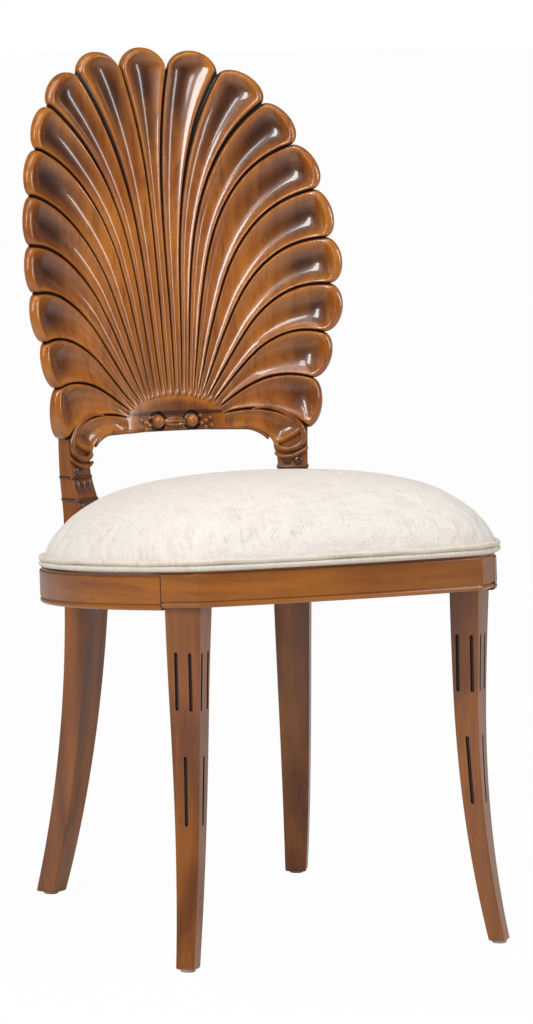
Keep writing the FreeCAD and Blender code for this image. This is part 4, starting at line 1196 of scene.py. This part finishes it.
def repeated(name, shape, places, turns, finish, sizes):
    # one small shape set out at many places by a node tree, then made plain mesh
    mesh = bpy.data.meshes.new(name)
    mesh.from_pydata([tuple(p) for p in places], [], [])
    facing = mesh.attributes.new("turn", "FLOAT_VECTOR", "POINT")
    facing.data.foreach_set("vector", np.array(turns, np.float32).ravel())
    piece = bpy.data.objects.new(name, mesh)
    scene.collection.objects.link(piece)
    tree = bpy.data.node_groups.new(name, "GeometryNodeTree")
    tree.interface.new_socket("Geometry", in_out="INPUT", socket_type="NodeSocketGeometry")
    inputs = {}
    for label, value in sizes.items():
        socket = tree.interface.new_socket(label, in_out="INPUT", socket_type="NodeSocketFloat")
        inputs[socket.identifier] = value
    tree.interface.new_socket("Geometry", in_out="OUTPUT", socket_type="NodeSocketGeometry")
    plan = Finish(name, tree)
    points, smallest, largest = [plan.add("NodeGroupInput", out=number) for number in range(3)]
    source = plan.add("GeometryNodeObjectInfo", None, {"Object": shape}, out="Geometry")
    turn = plan.add("GeometryNodeInputNamedAttribute", {"data_type": "FLOAT_VECTOR"}, {"Name": "turn"},
                    out="Attribute")
    size = plan.add("FunctionNodeRandomValue", {"data_type": "FLOAT"}, {2: smallest, 3: largest, 8: 7}, out=1)
    spread = plan.add("GeometryNodeInstanceOnPoints", None,
                      {"Points": points, "Instance": source, "Rotation": turn, "Scale": size})
    solid = plan.add("GeometryNodeRealizeInstances", None, {"Geometry": spread})
    painted = plan.add("GeometryNodeSetMaterial", None, {"Geometry": solid, "Material": finishes[finish]})
    plan.add("NodeGroupOutput", None, {"Geometry": painted})
    spreader = piece.modifiers.new("set out", "NODES")
    spreader.node_group = tree
    for identifier, value in inputs.items():
        spreader[identifier] = value
    settle(piece)
    bpy.data.objects.remove(shape)
    piece.data.shade_smooth()
    return dress(piece, finish)


def weltStitches():
    # thread stitches in the seam between the two cords
    outline = padOutline(stitch["count"])
    away = outline / np.linalg.norm(outline, axis=1)[:, None]
    ahead = np.roll(outline, -1, 0) - np.roll(outline, 1, 0)
    level = seat["height"] + welt["above"] + welt["diameter"] + stitch["above"]
    places = toRow([(x, y, level) for x, y in outline + away * stitch["out"]], True)
    turns = [(0.0, 0.0, math.atan2(dy, dx)) for dx, dy in ahead]
    points, faces, _ = roundSolid((0, 0, 0), stitch["radii"], rings=8, around=8)
    thread = looseMesh("stitch", points * mm, faces)
    sizes = {"Smallest": stitch["smallest"], "Largest": stitch["largest"]}
    repeated("welt_stitches", thread, places, turns, "welt", sizes)


cushion()
weltCords()
dustCover()
weltStitches()
print("cushion made")


# Floor, light and camera

studio = {
    "targetHeight": 0.484, "azimuth": -24.5, "elevation": 6.85, "distance": 6.0, "lens": 182.1,
    "shiftX": -2.0 / 1024, "floorHalf": 30, "floorGlow": 0.965, "sky": (0.38, 0.10, 1.0), "lampHeight": 0.55,
    "lamps": [("key", -62, 38, 2.6, (0.45, 1.5), 30), ("window", -38, 58, 2.6, (0.35, 0.9), 10),
              ("fill", 48, 26, 2.8, (0.4, 1.6), 18), ("top", 0, 80, 2.6, (1.6, 1.2), 14)],
}


def floorAndSky():
    # white where the camera looks at them; the floor keeps a little of the chair's shadow
    half = studio["floorHalf"]
    floor = looseMesh("floor", [(-half, -half, 0), (half, -half, 0), (half, half, 0), (-half, half, 0)],
                      [[0, 1, 2, 3]])
    finish = Finish("pale floor")
    camera, transmission = [finish.add("LightPath", out=number) for number in (0, 6)]
    seen = (camera + transmission).math("MINIMUM", 1.0)
    matte = finish.add("BsdfDiffuse", None, {"Color": (0.82, 0.82, 0.82, 1)})
    glow = finish.add("Emission", None, {"Color": (1, 1, 1, 1), "Strength": 1.0})
    both = finish.add("MixShader", None, {0: seen * studio["floorGlow"], 1: matte, 2: glow})
    finish.add("OutputMaterial", None, {"Surface": both})
    floor.data.materials.append(finish.material)
    world = bpy.data.worlds.new("studio")
    scene.world = world
    world.use_nodes = True
    sky = Finish("studio", world.node_tree)
    camera, transmission, glossy = [sky.add("LightPath", out=number) for number in (0, 6, 3)]
    room, mirror, paper = [sky.add("Background", None, {0: (1, 1, 1, 1), 1: level})
                           for level in studio["sky"]]
    inner = sky.add("MixShader", None, {0: glossy, 1: room, 2: mirror})
    blend = sky.add("MixShader", None, {0: camera.math("MAXIMUM", transmission), 1: inner, 2: paper})
    sky.add("OutputWorld", None, {0: blend})


def aimed(azimuth, elevation):
    # direction from the chair toward a lamp or the camera
    a, e = math.radians(azimuth), math.radians(elevation)
    return Vector((math.sin(a) * math.cos(e), -math.cos(a) * math.cos(e), math.sin(e)))


def lamp(name, azimuth, elevation, distance, size, power):
    light = bpy.data.lights.new(name, "AREA")
    light.shape = "RECTANGLE"
    light.size, light.size_y = size
    light.energy = power
    back = aimed(azimuth, elevation)
    holder = bpy.data.objects.new(name, light)
    holder.location = Vector((0, 0, studio["lampHeight"])) + back * distance
    holder.rotation_euler = (-back).to_track_quat("-Z", "Y").to_euler()
    scene.collection.objects.link(holder)


def cameraAndLight():
    for settings in studio["lamps"]:
        lamp(*settings)
    view = bpy.data.cameras.new("photo view")
    view.sensor_width = 36.0
    view.lens = studio["lens"]
    view.shift_x = studio["shiftX"]
    view.clip_start, view.clip_end = 0.05, 100
    camera = bpy.data.objects.new("photo view", view)
    back = aimed(studio["azimuth"], studio["elevation"])
    target = Vector((0.0, shiftY * mm, studio["targetHeight"]))
    camera.location = target + back * studio["distance"]
    camera.rotation_euler = (-back).to_track_quat("-Z", "Y").to_euler()
    scene.collection.objects.link(camera)
    scene.camera = camera


floorAndSky()
cameraAndLight()
scene.view_settings.view_transform = "Standard"
print("studio made")
